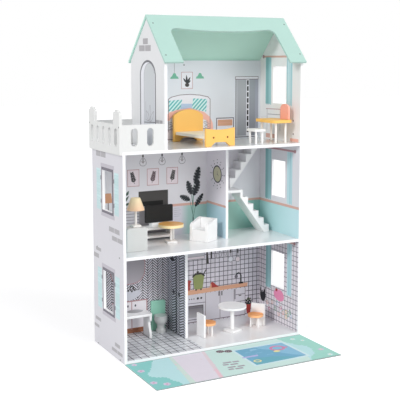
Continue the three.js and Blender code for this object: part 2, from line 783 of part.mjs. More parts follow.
// A chair: a round seat on its legs, cut flat where the back board stands against it.
function chairGroup({ name, fromTable, fromFront, turn }) {
  const half = chair.backWidth / 2;
  const backOutline = rectangle(-half, 0, half, chair.backHeight, chair.backRadius);
  const flatY = chair.backSetback - seatGap;
  const flatAngle = Math.asin(flatY / chair.seatRadius);
  const seatOutline = new THREE.Shape();
  seatOutline.absarc(0, 0, chair.seatRadius, Math.PI - flatAngle, Math.PI * 2 + flatAngle);
  const seat = board(seatOutline, chair.seat, 'z', 32);
  const solids = [seat.translate(0, 0, chair.seatHeight - chair.seat)];
  for (let leg = 0; leg < chair.legCount; leg += 1) {
    const angle = Math.PI / 2 + (leg * 2 * Math.PI) / chair.legCount;
    const post = rod(chair.leg / 2, chair.seatHeight - chair.seat / 2, 0, 12);
    solids.push(post.translate(chair.legCircle * Math.cos(angle),
      chair.legCircle * Math.sin(angle), 0));
  }
  const parts = [
    piece(`${name}_chair_seat`, joined(solids), orange),
    piece(`${name}_chair_back`, board(backOutline, chair.backThickness, 'y', 2), white,
      [0, chair.backSetback, 0]),
  ];
  return standing(parts, kitchenTableX + fromTable, fromFront, groundTop, turn);
}

// ---------------------------------------------------------------- the garden mat

function gardenMat() {
  const plan = rectangle(0, -matDepth - matGap, houseWidth, -matGap, matRadius);
  return piece('garden_mat', board(plan, matThickness, 'z', 3), lawn, [0, 0, 0], 0.8);
}

// ---------------------------------------------------------------- the whole dollhouse

const dollhouse = new THREE.Group();
dollhouse.add(
  ...floors(),
  ...walls(),
  ...backPanels(),
  partition('bath_partition', bathPartitionX, groundTop),
  partition('living_partition', livingPartitionX, middleTop),
  ...roof(),
  ...balcony(),
  ...stairs(),
  bedGroup(),
  deskGroup(),
  stoolGroup(),
  cabinetGroup(),
  lampGroup(),
  tvStandGroup(),
  tvGroup(),
  coffeeTableGroup(),
  armchairGroup(),
  washstandGroup(),
  toiletGroup(),
  kitchenTableGroup(),
  ...chairPlaces.map(chairGroup),
  gardenMat(),
);

// The origin lies on the ground under the middle of the whole, from rail to roof and mat to eave.
const middleX = (roofRight - boardThickness) / 2;
const middleY = (houseDepth + eaveOverhang - matDepth - matGap) / 2;
dollhouse.position.set(-middleX, -middleY, 0);

export default dollhouse;
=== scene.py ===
"""The visual model of a wooden dollhouse: its boards, printed walls, loose furniture and mat."""

import json
import logging
import math
from dataclasses import dataclass, field
from enum import Enum
from typing import ClassVar, Optional, Sequence, Union

import bmesh
import bpy
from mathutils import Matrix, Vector
from mathutils.geometry import tessellate_polygon

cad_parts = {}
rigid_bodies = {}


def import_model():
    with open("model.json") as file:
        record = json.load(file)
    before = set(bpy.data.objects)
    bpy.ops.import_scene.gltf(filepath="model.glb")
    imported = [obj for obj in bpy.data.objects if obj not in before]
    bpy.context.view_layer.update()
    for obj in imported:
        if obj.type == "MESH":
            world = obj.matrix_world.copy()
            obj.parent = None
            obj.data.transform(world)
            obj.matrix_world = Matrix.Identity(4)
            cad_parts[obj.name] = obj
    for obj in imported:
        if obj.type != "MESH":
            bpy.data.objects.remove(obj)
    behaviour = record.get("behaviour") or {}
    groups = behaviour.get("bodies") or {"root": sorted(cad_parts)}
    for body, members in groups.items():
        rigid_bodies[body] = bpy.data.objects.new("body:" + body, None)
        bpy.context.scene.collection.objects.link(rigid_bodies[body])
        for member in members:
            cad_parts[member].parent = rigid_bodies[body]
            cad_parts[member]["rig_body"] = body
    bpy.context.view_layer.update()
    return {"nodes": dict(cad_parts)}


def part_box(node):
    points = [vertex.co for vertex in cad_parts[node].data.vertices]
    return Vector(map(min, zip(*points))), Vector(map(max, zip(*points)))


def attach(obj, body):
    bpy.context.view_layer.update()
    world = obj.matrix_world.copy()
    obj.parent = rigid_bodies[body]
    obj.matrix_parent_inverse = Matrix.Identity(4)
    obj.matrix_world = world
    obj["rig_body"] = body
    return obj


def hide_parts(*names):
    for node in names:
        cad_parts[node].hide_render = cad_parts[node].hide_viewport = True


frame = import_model()

LOG = logging.getLogger("dollhouse")
MM = 0.001
MERGE = 1e-6  # metres: corners nearer to each other than this are one corner
BROAD = 0.8  # the cosine past which a surface counts as a board's broad face
SKIN = 1400.0  # the noise scale of a spray gun's fine skin
GRAIN = 420.0  # the noise scale of ink on board

Point = tuple[float, float]
Row = tuple[float, ...]
Rows = tuple[Row, ...]
Points = tuple[Point, ...]
Outline = Sequence[Point]
Piece = bpy.types.Object
Socket = bpy.types.NodeSocket
Feed = Union[Socket, float, tuple]


# ---------- the house's own measures


class Axis(Enum):
    """One of the three directions of the frame."""

    X = 0
    Y = 1
    Z = 2


@dataclass(frozen=True)
class House:
    """The house's own measures: millimetres from its left wall, its front and the ground."""

    left: float
    front: float

    @classmethod
    def measured(cls) -> "House":
        """Reads where the house stands from its left wall."""
        low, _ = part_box("left_side_wall")
        return cls(low.x, low.y)

    def at(self, x: float, y: float, z: float) -> Vector:
        """Turns millimetres of the house into a point of the frame, in metres."""
        return Vector((self.left + x * MM, self.front + y * MM, z * MM))

    def start(self, axis: Axis) -> float:
        """Gives where the house's measures begin along an axis of the frame, in metres."""
        return (self.left, self.front, 0.0)[axis.value]

    def ends(self, node: str, axis: Axis) -> Point:
        """Reads where a CAD node begins and ends along an axis, in the house's millimetres."""
        low, high = [(corner[axis.value] - self.start(axis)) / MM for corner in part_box(node)]
        return low, high


HOUSE = House.measured()


@dataclass(frozen=True)
class Face:
    """One flat face of a board: its normal's axis, its level in the house and the way it looks."""

    axis: Axis
    level: float
    side: int

    @classmethod
    def of(cls, node: str, axis: Axis, side: int) -> "Face":
        """Finds the face of a CAD node that looks up an axis, or down it where side is -1."""
        low, high = HOUSE.ends(node, axis)
        return cls(axis, high if side > 0 else low, side)

    def point(self, u: float, v: float, lift: float) -> Vector:
        """Gives a point on the face or off it.

        Args:
            u: the point's first measure across the face, in the house's millimetres.
            v: its second one.
            lift: how far it stands off the face, in millimetres.

        Returns:
            The point of the frame, in metres.
        """
        level = self.level + self.side * lift
        if self.axis is Axis.X:
            return HOUSE.at(level, u, v)
        if self.axis is Axis.Y:
            return HOUSE.at(u, level, v)
        return HOUSE.at(u, v, level)

    @property
    def normal(self) -> Vector:
        """The unit vector that the face looks along."""
        return Vector([self.side if i == self.axis.value else 0 for i in range(3)])


# ---------- materials


def rgb(code: str, gain: float = 1.0) -> tuple[float, float, float, float]:
    """Turns a six-figure hexadecimal colour into linear light, made lighter or darker by gain.

    Args:
        code: the colour as six hexadecimal figures.
        gain: what its light is multiplied by.

    Returns:
        Red, green, blue and an alpha of one.
    """
    parts = [int(code[i:i + 2], 16) / 255 for i in (0, 2, 4)]
    light = [c / 12.92 if c <= 0.04045 else ((c + 0.055) / 1.055) ** 2.4 for c in parts]
    return (*[min(1.0, c * gain) for c in light], 1.0)


class Nodes:
    """One node tree, with short ways to add nodes and to feed their sockets."""

    def __init__(self, tree: bpy.types.NodeTree) -> None:
        """Takes a tree over and empties it."""
        self.tree = tree
        self.tree.nodes.clear()

    def add(self, kind: str, **settings: object) -> bpy.types.Node:
        """Adds one node.

        Args:
            kind: the node's type.
            **settings: its properties.

        Returns:
            The node.
        """
        node = self.tree.nodes.new(kind)
        for key, value in settings.items():
            setattr(node, key, value)
        return node

    def feed(self, target: Socket, value: Feed) -> None:
        """Links an output to an input, or writes a constant on the input.

        Args:
            target: the input.
            value: the output or the constant.
        """
        if isinstance(value, bpy.types.NodeSocket):
            self.tree.links.new(value, target)
        else:
            target.default_value = value

    def math(self, operation: str, first: Feed, second: Feed = 0.0) -> Socket:
        """Adds one step of arithmetic.

        Args:
            operation: what is done.
            first: its first term.
            second: its second term, where it has one.

        Returns:
            The result.
        """
        node = self.add("ShaderNodeMath", operation=operation)
        self.feed(node.inputs[0], first)
        self.feed(node.inputs[1], second)
        return node.outputs[0]

    def seen(self) -> Socket:
        """Tells rays that show a thing from rays that only gather its light.

        Returns:
            One for a ray that shows it and zero for the others.
        """
        path = self.add("ShaderNodeLightPath")
        rays = self.math("MAXIMUM", path.outputs["Is Camera Ray"], path.outputs["Is Glossy Ray"])
        return self.math("MAXIMUM", rays, path.outputs["Is Transmission Ray"])


class Graph(Nodes):
    """The nodes of one material, around one Principled shader."""

    def __init__(self, name: str, roughness: float, metallic: float = 0.0) -> None:
        """Starts a material with a bare shader.

        Args:
            name: the material's name.
            roughness: how rough it is.
            metallic: how far it is a metal.
        """
        self.material = bpy.data.materials.new(name)
        self.material.use_nodes = True
        super().__init__(self.material.node_tree)
        output = self.add("ShaderNodeOutputMaterial")
        self.shader = self.add("ShaderNodeBsdfPrincipled")
        self.shader.inputs["Roughness"].default_value = roughness
        self.shader.inputs["Metallic"].default_value = metallic
        self.feed(output.inputs[0], self.shader.outputs[0])
        self.place = self.add("ShaderNodeTexCoord").outputs["Object"]
        split = self.add("ShaderNodeSeparateXYZ")
        self.feed(split.inputs[0], self.place)
        self.axes = {axis: split.outputs[axis.value] for axis in Axis}

    def house(self, axis: Axis) -> Socket:
        """Returns the house's own millimetres along an axis."""
        moved = self.math("SUBTRACT", self.axes[axis], HOUSE.start(axis))
        return self.math("MULTIPLY", moved, 1 / MM)

    def mix(self, factor: Feed, first: Feed, second: Feed) -> Socket:
        """Blends two colours.

        Args:
            factor: zero for the first colour and one for the second.
            first: the first colour.
            second: the second colour.

        Returns:
            The blend.
        """
        node = self.add("ShaderNodeMix", data_type="RGBA")
        self.feed(node.inputs[0], factor)
        self.feed(node.inputs[6], first)
        self.feed(node.inputs[7], second)
        return node.outputs[2]

    def noise(self, scale: float, detail: float = 2.0,
              stretch: tuple[float, float, float] = (1.0, 1.0, 1.0)) -> Socket:
        """Adds noise over the object's own space.

        Args:
            scale: how fine it is.
            detail: how many finer layers it has.
            stretch: what each axis is multiplied by first.

        Returns:
            The noise, about one half.
        """
        mapping = self.add("ShaderNodeMapping")
        self.feed(mapping.inputs["Vector"], self.place)
        mapping.inputs["Scale"].default_value = stretch
        node = self.add("ShaderNodeTexNoise")
        self.feed(node.inputs["Vector"], mapping.outputs[0])
        node.inputs["Scale"].default_value = scale
        node.inputs["Detail"].default_value = detail
        return node.outputs["Fac"]

    def stripes(self, value: Socket, pitch: float, line: float, start: float = 0.0) -> Socket:
        """Draws lines that repeat.

        Args:
            value: the measure that they repeat along.
            pitch: how far they are apart.
            line: how wide each is.
            start: where the middle of one lies.

        Returns:
            One on the lines and zero between them.
        """
        moved = self.math("SUBTRACT", value, start - line / 2)
        part = self.math("FRACT", self.math("DIVIDE", moved, pitch))
        return self.math("LESS_THAN", part, line / pitch)

    def facing(self, axis: Axis, limit: float = BROAD) -> Socket:
        """Finds the surfaces that look along an axis, either way.

        Args:
            axis: the axis.
            limit: the least cosine that counts.

        Returns:
            One on those surfaces and zero elsewhere.
        """
        split = self.add("ShaderNodeSeparateXYZ")
        self.feed(split.inputs[0], self.add("ShaderNodeTexCoord").outputs["Normal"])
        return self.math("GREATER_THAN", self.math("ABSOLUTE", split.outputs[axis.value]), limit)

    def uneven(self, factor: Socket, code: str, dark: float, light: float) -> Socket:
        """Shades one colour between a darker gain of it and a lighter one."""
        return self.mix(factor, rgb(code, dark), rgb(code, light))

    def close(self, colour: Feed, height: Socket, depth: float, strength: float) -> None:
        """Feeds the shader its colour and its bump.

        Args:
            colour: the colour.
            height: the bump's height, from zero to one.
            depth: how many millimetres one is.
            strength: how much of the bump shows.
        """
        self.feed(self.shader.inputs["Base Color"], colour)
        bump = self.add("ShaderNodeBump")
        bump.inputs["Strength"].default_value = strength
        bump.inputs["Distance"].default_value = depth * MM
        self.feed(bump.inputs["Height"], height)
        self.feed(self.shader.inputs["Normal"], bump.outputs[0])


@dataclass(frozen=True)
class Finish:
    """A finish with a name, a main colour and how rough it is."""

    name: str
    colour: str
    roughness: float = 0.5

    def material(self) -> bpy.types.Material:
        """Gives the finish's material, made on its first use.

        Returns:
            The material.
        """
        if self.name not in bpy.data.materials:
            self.build()
        return bpy.data.materials[self.name]

    def build(self) -> None:
        """Makes the material."""
        raise NotImplementedError


@dataclass(frozen=True)
class Paint(Finish):
    """Sprayed paint on fibreboard: faintly uneven, with the fine skin that a spray gun leaves."""

    mottle: float = 0.025
    skin: float = 0.05

    def build(self) -> None:
        """Makes the paint's nodes."""
        graph = Graph(self.name, self.roughness)
        cloud = graph.noise(24.0, 3.0)
        colour = graph.uneven(cloud, self.colour, 1 - self.mottle, 1 + self.mottle)
        graph.close(colour, graph.noise(SKIN), self.skin, 0.35)


@dataclass(frozen=True)
class EdgedPaint(Finish):
    """A painted board whose broad faces and whose edges have different colours."""

    edge: str = "F4F4F6"
    axis: Axis = Axis.Z
    mottle: float = 0.02

    def build(self) -> None:
        """Makes the paint's nodes, with the broad faces found by their normal."""
        graph = Graph(self.name, self.roughness)
        cloud = graph.noise(18.0, 3.0)
        face = graph.uneven(cloud, self.colour, 1 - self.mottle, 1 + self.mottle)
        colour = graph.mix(graph.facing(self.axis), rgb(self.edge), face)
        graph.close(colour, graph.noise(SKIN), 0.05, 0.3)


@dataclass(frozen=True)
class TwoTone(Finish):
    """Paint of one colour above a level of the house and of another below it."""

    lower: str = "F3F3F4"
    edge: str = "FFFFFF"
    level: float = 0.0

    def build(self) -> None:
        """Makes the paint's nodes, with the turned or sawn edge a little lighter."""
        graph = Graph(self.name, self.roughness)
        above = graph.math("GREATER_THAN", graph.house(Axis.Z), self.level)
        top = graph.uneven(graph.noise(24.0, 3.0), self.colour, 0.97, 1.03)
        upper = graph.mix(graph.facing(Axis.Z), rgb(self.edge), top)
        colour = graph.mix(above, rgb(self.lower), upper)
        graph.close(colour, graph.noise(SKIN), 0.05, 0.35)


@dataclass(frozen=True)
class Ink(Finish):
    """A flat printed colour, with the slight unevenness of ink on board."""

    mottle: float = 0.05

    def build(self) -> None:
        """Makes the ink's nodes."""
        graph = Graph(self.name, self.roughness)
        dots = graph.noise(GRAIN, 4.0)
        colour = graph.uneven(dots, self.colour, 1 - self.mottle, 1 + self.mottle)
        graph.close(colour, dots, 0.02, 0.25)


@dataclass(frozen=True)
class Fade(Finish):
    """A printed colour that fades into a second one along an axis, between two measures."""

    other: str = "FFFFFF"
    axis: Axis = Axis.Z
    start: float = 0.0
    end: float = 1.0

    def build(self) -> None:
        """Makes the nodes of the fade, with ink grain over it."""
        graph = Graph(self.name, self.roughness)
        run = graph.math("SUBTRACT", graph.house(self.axis), self.start)
        part = graph.math("DIVIDE", run, self.end - self.start)
        part = graph.math("MINIMUM", graph.math("MAXIMUM", part, 0.0), 1.0)
        grain = graph.noise(GRAIN, 4.0)
        speckle = graph.math("MULTIPLY", graph.math("SUBTRACT", grain, 0.5), 0.1)
        mixed = graph.math("ADD", part, speckle)
        graph.close(graph.mix(mixed, rgb(self.colour), rgb(self.other)), grain, 0.02, 0.2)


@dataclass(frozen=True)
class Tiles(Finish):
    """Printed tiles with thin dark joints, drawn by two families of lines."""

    joint: str = "3E3C4A"
    across: Axis = Axis.X
    up: Axis = Axis.Z
    wide: float = 16.1
    high: float = 14.1
    line: float = 2.0
    start_across: float = 0.0
    start_up: float = 0.0

    def build(self) -> None:
        """Makes the nodes of the tiles, each a little lighter or darker than the next."""
        graph = Graph(self.name, self.roughness)
        cell = graph.add("ShaderNodeCombineXYZ")
        lines: Feed = 0.0
        for socket, axis, pitch, start in (
            (cell.inputs[0], self.across, self.wide, self.start_across),
            (cell.inputs[1], self.up, self.high, self.start_up),
        ):
            value = graph.house(axis)
            lines = graph.math("MAXIMUM", graph.stripes(value, pitch, self.line, start), lines)
            place = graph.math("DIVIDE", graph.math("SUBTRACT", value, start), pitch)
            graph.feed(socket, graph.math("FLOOR", place))
        shade = graph.add("ShaderNodeTexWhiteNoise", noise_dimensions="3D")
        graph.feed(shade.inputs["Vector"], cell.outputs[0])
        tile = graph.uneven(shade.outputs["Value"], self.colour, 0.93, 1.04)
        colour = graph.mix(lines, tile, rgb(self.joint))
        graph.close(colour, graph.math("SUBTRACT", 1.0, lines), 0.06, 0.3)


@dataclass(frozen=True)
class Herringbone(Finish):
    """Printed slips laid in columns, slanting up and down by turns."""

    joint: str = "35333F"
    across: Axis = Axis.X
    column: float = 17.6
    slip: float = 6.6
    rise: float = 11.0
    line: float = 0.42
    seam: float = 1.8
    start: float = 0.0

    def build(self) -> None:
        """Makes the nodes of the slips and of the seams between the columns."""
        graph = Graph(self.name, self.roughness)
        run = graph.math("SUBTRACT", graph.house(self.across), self.start)
        place = graph.math("DIVIDE", run, self.column)
        zigzag = graph.math("MULTIPLY", graph.math("PINGPONG", place, 1.0), self.rise)
        level = graph.math("DIVIDE", graph.math("ADD", graph.house(Axis.Z), zigzag), self.slip)
        joints = graph.math("LESS_THAN", graph.math("FRACT", level), self.line)
        seams = graph.math("LESS_THAN", graph.math("FRACT", place), self.seam / self.column)
        both = graph.math("MAXIMUM", joints, seams)
        slip = graph.uneven(graph.noise(60.0), self.colour, 0.9, 1.05)
        colour = graph.mix(both, slip, rgb(self.joint))
        graph.close(colour, graph.math("SUBTRACT", 1.0, both), 0.05, 0.25)


@dataclass(frozen=True)
class Slanted(Finish):
    """Slanting stripes in two colours, as on a striped cushion cover."""

    other: str = "FFFFFF"
    across: Axis = Axis.X
    pitch: float = 12.0
    duty: float = 0.5
    lean: float = 1.0

    def build(self) -> None:
        """Makes the nodes of the stripes."""
        graph = Graph(self.name, self.roughness)
        lean = graph.math("MULTIPLY", graph.house(Axis.Z), -self.lean)
        value = graph.math("ADD", graph.house(self.across), lean)
        stripe = graph.stripes(value, self.pitch, self.pitch * self.duty)
        grain = graph.noise(GRAIN, 4.0)
        base = graph.uneven(grain, self.colour, 0.95, 1.05)
        graph.close(graph.mix(stripe, rgb(self.other), base), grain, 0.02, 0.2)


@dataclass(frozen=True)
class Folds(Finish):
    """A printed curtain: upright folds that go from a deep colour to a light one and back."""

    light: str = "A9DADF"
    across: Axis = Axis.Y
    pitch: float = 11.0
    start: float = 0.0

    def build(self) -> None:
        """Makes the nodes of the folds, from two waves that don't keep step."""
        graph = Graph(self.name, self.roughness)
        value = graph.math("SUBTRACT", graph.house(self.across), self.start)
        part: Feed = 0.5
        for pitch in (self.pitch, self.pitch * 2.6):
            wave = graph.math("SINE", graph.math("MULTIPLY", value, math.tau / pitch))
            part = graph.math("ADD", graph.math("MULTIPLY", wave, 0.3), part)
        graph.close(graph.mix(part, rgb(self.colour), rgb(self.light)), part, 0.05, 0.3)


@dataclass(frozen=True)
class Timber(Finish):
    """Printed wood grain that runs along one axis."""

    dark: str = "A86A48"
    axis: Axis = Axis.X

    def build(self) -> None:
        """Makes the nodes of the grain from noise drawn out along the board."""
        graph = Graph(self.name, self.roughness)
        stretch = tuple(6.0 if axis is self.axis else 120.0 for axis in Axis)
        grain = graph.noise(1.6, 6.0, stretch)
        graph.close(graph.mix(grain, rgb(self.dark), rgb(self.colour)), grain, 0.03, 0.3)


@dataclass(frozen=True)
class Metal(Finish):
    """Plated steel with fine turning marks."""

    def build(self) -> None:
        """Makes the nodes of the metal."""
        graph = Graph(self.name, self.roughness, 0.85)
        marks = graph.noise(2600.0, 3.0)
        colour = graph.uneven(marks, self.colour, 0.85, 1.1)
        graph.close(colour, marks, 0.03, 0.3)


@dataclass(frozen=True)
class Felt(Finish):
    """A printed colour on felted cloth: short fibres in every direction and a soft sheen."""

    roughness: float = 0.85
    fleck: float = 0.06
    edge: str = ""

    def build(self) -> None:
        """Makes the nodes of the cloth."""
        graph = Graph(self.name, self.roughness)
        fibres = graph.noise(700.0, 6.0)
        fine = graph.math("MULTIPLY", fibres, 0.7)
        both = graph.math("ADD", fine, graph.math("MULTIPLY", graph.noise(40.0), 0.3))
        colour = graph.uneven(both, self.colour, 1 - self.fleck, 1 + self.fleck)
        # Where given, the sides take the edge colour; the mat's dark sides are painted shade.
        if self.edge:
            colour = graph.mix(graph.facing(Axis.Z, 0.85), rgb(self.edge), colour)
        graph.shader.inputs["Sheen Weight"].default_value = 0.1
        graph.shader.inputs["Sheen Roughness"].default_value = 0.6
        graph.close(colour, fibres, 0.25, 0.6)


# ---------- outlines, in millimetres

FOLDED = 1e-3  # two ways that add up to less than this run back on each other
SHARPEST = 0.5  # the least cosine that a line's corner is mitred with
LEAF_PARTS = (0, .15, .3, .45, .6, .75, .9, 1)  # where a leaf's rim has its points
LEAF_TIP = len(LEAF_PARTS) - 1


def box_outline(u0: float, v0: float, u1: float, v1: float) -> list[Point]:
    """Gives a rectangle's four corners."""
    return [(u0, v0), (u1, v0), (u1, v1), (u0, v1)]


def oval(u: float, v: float, half_u: float, half_v: float, count: int = 28,
         first: float = 0.0, last: float = 360.0) -> list[Point]:
    """Gives points round an ellipse, or along a part of it.

    Args:
        u: the first measure of its middle.
        v: the second one.
        half_u: half its width.
        half_v: half its height.
        count: how many points it has.
        first: the angle of the first point, in degrees.
        last: the angle that the points run to.

    Returns:
        The points.
    """
    whole = abs(last - first) >= 360
    steps = count if whole else count - 1
    angles = [math.radians(first + (last - first) * i / steps) for i in range(count)]
    return [(u + half_u * math.cos(a), v + half_v * math.sin(a)) for a in angles]


def sides(points: Outline, width: float, closed: bool = False) -> tuple[list[Point], list[Point]]:
    """Gives the two sides of a line of some width, mitred at its corners.

    Args:
        points: the line's points.
        width: how wide it is drawn.
        closed: whether the last point joins the first.

    Returns:
        The points to the left of the line and those to its right.
    """
    run = [p for i, p in enumerate(points) if i == 0 or math.dist(p, points[i - 1]) > MERGE]
    left: list[Point] = []
    right: list[Point] = []
    for i, (u, v) in enumerate(run):
        before = run[i - 1] if i or closed else None
        after = run[(i + 1) % len(run)] if i + 1 < len(run) or closed else None
        ways = []
        for start, end in ((before, (u, v)), ((u, v), after)):
            if start is not None and end is not None:
                ways.append(Vector((end[0] - start[0], end[1] - start[1])).normalized())
        way = sum(ways, Vector((0, 0)))
        if way.length < FOLDED:
            way = ways[0]
        way.normalize()
        reach = width / 2 / max(SHARPEST, way.dot(ways[0]))
        left.append((u - way.y * reach, v + way.x * reach))
        right.append((u + way.y * reach, v - way.x * reach))
    return left, right


def spread(outline: Outline) -> float:
    """Gives how far an outline reaches across, to tell an outer rim from an inner one."""
    return max(u for u, _ in outline) - min(u for u, _ in outline)


def leaf(u: float, v: float, length: float, width: float, degrees: float,
         cuts: int = 0) -> list[Point]:
    """Gives a pointed leaf, or a broad one with slits along both sides.

    Args:
        u: the first measure of the point that it grows from.
        v: the second one.
        length: how long it is.
        width: how wide it is.
        degrees: the direction that it grows in.
        cuts: how many lobes each side of a broad one has, or zero for a pointed one.

    Returns:
        Its rim.
    """
    turn = math.radians(degrees)
    cos, sin = math.cos(turn), math.sin(turn)
    power, blunt = (0.85, 0.55) if cuts else (0.8, 1.0)

    def half(t: float) -> float:
        """Gives half the leaf's width at a part of its length."""
        return math.sin(math.pi * t ** power) ** blunt * width / 2

    side = [(t * length, half(t)) for t in LEAF_PARTS]
    if cuts:
        side = [(0.0, 0.0)]
        for i in range(cuts):
            low, high = (i + 0.1) / cuts, (i + 0.76) / cuts
            side += [(low * length, half(low)), (high * length, half(high)),
                     ((i + 0.8) / cuts * length, half(high) * 0.35)]
        side.append((length, 0.0))
    rim = [*side, *[(a, -b) for a, b in side[-2:0:-1]]]
    return [(u + a * cos - b * sin, v + a * sin + b * cos) for a, b in rim]


# ---------- pieces


def settle(piece: Piece, body: str) -> Piece:
    """Lets a piece ride on its body and reports it.

    Args:
        piece: the finished piece.
        body: the body it rides on.

    Returns:
        The piece.
    """
    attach(piece, body)
    LOG.info("%s rides on %s: %d faces", piece.name, body, len(piece.data.polygons))
    return piece


def placed(name: str, data: bpy.types.ID) -> Piece:
    """Makes a mesh, a lamp or a camera an object at the origin, in the scene.

    Args:
        name: the object's name.
        data: what it is made of.

    Returns:
        The object.
    """
    piece = bpy.data.objects.new(name, data)
    bpy.context.scene.collection.objects.link(piece)
    return piece


@dataclass
class Print:
    """Flat printed shapes on one face of a board, each a thin closed plate of one finish.

    A plate starts START off the board and is PLATE thick. Each layer is STEP higher than the one
    before, and each plate in turn is a SHIM higher, so that no two tops fall together.
    """

    START: ClassVar[float] = 0.02
    STEP: ClassVar[float] = 0.05
    SHIM: ClassVar[float] = 0.004
    SHIMS: ClassVar[int] = 10
    PLATE: ClassVar[float] = 0.04

    name: str
    face: Face
    points: list[Vector] = field(default_factory=list, init=False)
    polygons: list[tuple[int, ...]] = field(default_factory=list, init=False)
    marks: list[int] = field(default_factory=list, init=False)
    finishes: list[Finish] = field(default_factory=list, init=False)
    made: int = field(default=0, init=False)

    def shape(self, outline: Outline, finish: Finish, layer: int = 0,
              holes: Sequence[Outline] = ()) -> None:
        """Adds one plate.

        Args:
            outline: its rim on the face.
            finish: what it is printed with.
            layer: how many other prints it lies on.
            holes: outlines cut out of it.
        """
        if finish not in self.finishes:
            self.finishes.append(finish)
        loops = [list(outline), *[list(hole) for hole in holes]]
        rim = [point for loop in loops for point in loop]
        count = len(rim)
        first = len(self.points)
        self.made = (self.made + 1) % self.SHIMS
        low = self.START + self.STEP * layer + self.SHIM * self.made
        for lift in (self.START, low + self.PLATE):
            self.points += [self.face.point(u, v, lift) for u, v in rim]
        cells = tessellate_polygon([[Vector((u, v, 0)) for u, v in loop] for loop in loops])
        made = [tuple(first + count + i for i in cell) for cell in cells]
        made += [tuple(first + i for i in reversed(cell)) for cell in cells]
        begin = first
        for loop in loops:
            for i in range(len(loop)):
                a, b = begin + i, begin + (i + 1) % len(loop)
                made.append((a, b, b + count, a + count))
            begin += len(loop)
        self.polygons += made
        self.marks += [self.finishes.index(finish)] * len(made)

    def box(self, u0: float, v0: float, u1: float, v1: float, finish: Finish,
            layer: int = 0) -> None:
        """Adds a rectangle between two of its corners."""
        self.shape(box_outline(u0, v0, u1, v1), finish, layer)

    def line(self, points: Outline, width: float, finish: Finish, layer: int = 0,
             closed: bool = False) -> None:
        """Adds a line.

        Args:
            points: the points it runs along.
            width: how wide it is drawn.
            finish: what it is printed with.
            layer: how many other prints it lies on.
            closed: whether it closes into a ring.
        """
        left, right = sides(points, width, closed)
        if closed:
            outer, inner = sorted((left, right), key=spread, reverse=True)
            self.shape(outer, finish, layer, [inner])
        else:
            self.shape([*left, *reversed(right)], finish, layer)

    def press(self, body: str = "house", slot: str = "printed_wall") -> Piece:
        """Makes the print's mesh and lets it ride on a body.

        Args:
            body: the body.
            slot: not used.

        Returns:
            The finished piece.
        """
        mesh = bpy.data.meshes.new(self.name)
        mesh.from_pydata(self.points, [], self.polygons)
        for finish in self.finishes:
            mesh.materials.append(finish.material())
        mesh.polygons.foreach_set("material_index", self.marks)
        turned = bmesh.new()
        turned.from_mesh(mesh)
        bmesh.ops.recalc_face_normals(turned, faces=turned.faces)
        turned.to_mesh(mesh)
        turned.free()
        return settle(placed(self.name, mesh), body)


FLAT = math.radians(0.5)  # a bend under this is no edge
SMOOTH = math.radians(35)  # a bend under this is shaded smooth
SHARP = math.radians(38)  # a bend over this is eased


def eased(node: str, finish: Finish, width: float) -> Piece:
    """Replaces a CAD node by a copy with softened edges, as sanded and painted board has.

    Args:
        node: the CAD node.
        finish: the copy's finish.
        width: how far each edge is eased, in millimetres.

    Returns:
        The piece that stands for the node.
    """
    source = frame["nodes"][node]
    mesh = source.data.copy()
    shell = bmesh.new()
    shell.from_mesh(mesh)
    bmesh.ops.remove_doubles(shell, verts=shell.verts, dist=MERGE)
    bmesh.ops.dissolve_limit(shell, angle_limit=FLAT, verts=shell.verts, edges=shell.edges)
    shell.to_mesh(mesh)
    shell.free()
    mesh.polygons.foreach_set("use_smooth", [True] * len(mesh.polygons))
    mesh.set_sharp_from_angle(angle=SMOOTH)
    piece = placed(node + "_finished", mesh)
    bevel = piece.modifiers.new("Ease", "BEVEL")
    bevel.width = width * MM
    bevel.segments = 2
    bevel.limit_method = "ANGLE"
    bevel.angle_limit = SHARP
    bevel.harden_normals = True
    mesh.materials.clear()
    mesh.materials.append(finish.material())
    plain(piece)
    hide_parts(node)
    return settle(piece, source["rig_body"])


def plain(piece: Piece) -> None:
    """Turns a piece and its modifiers into a plain mesh.

    Args:
        piece: the piece, which keeps its name.
    """
    graph = bpy.context.evaluated_depsgraph_get()
    finished = bpy.data.meshes.new_from_object(piece.evaluated_get(graph))
    piece.modifiers.clear()
    piece.data = finished


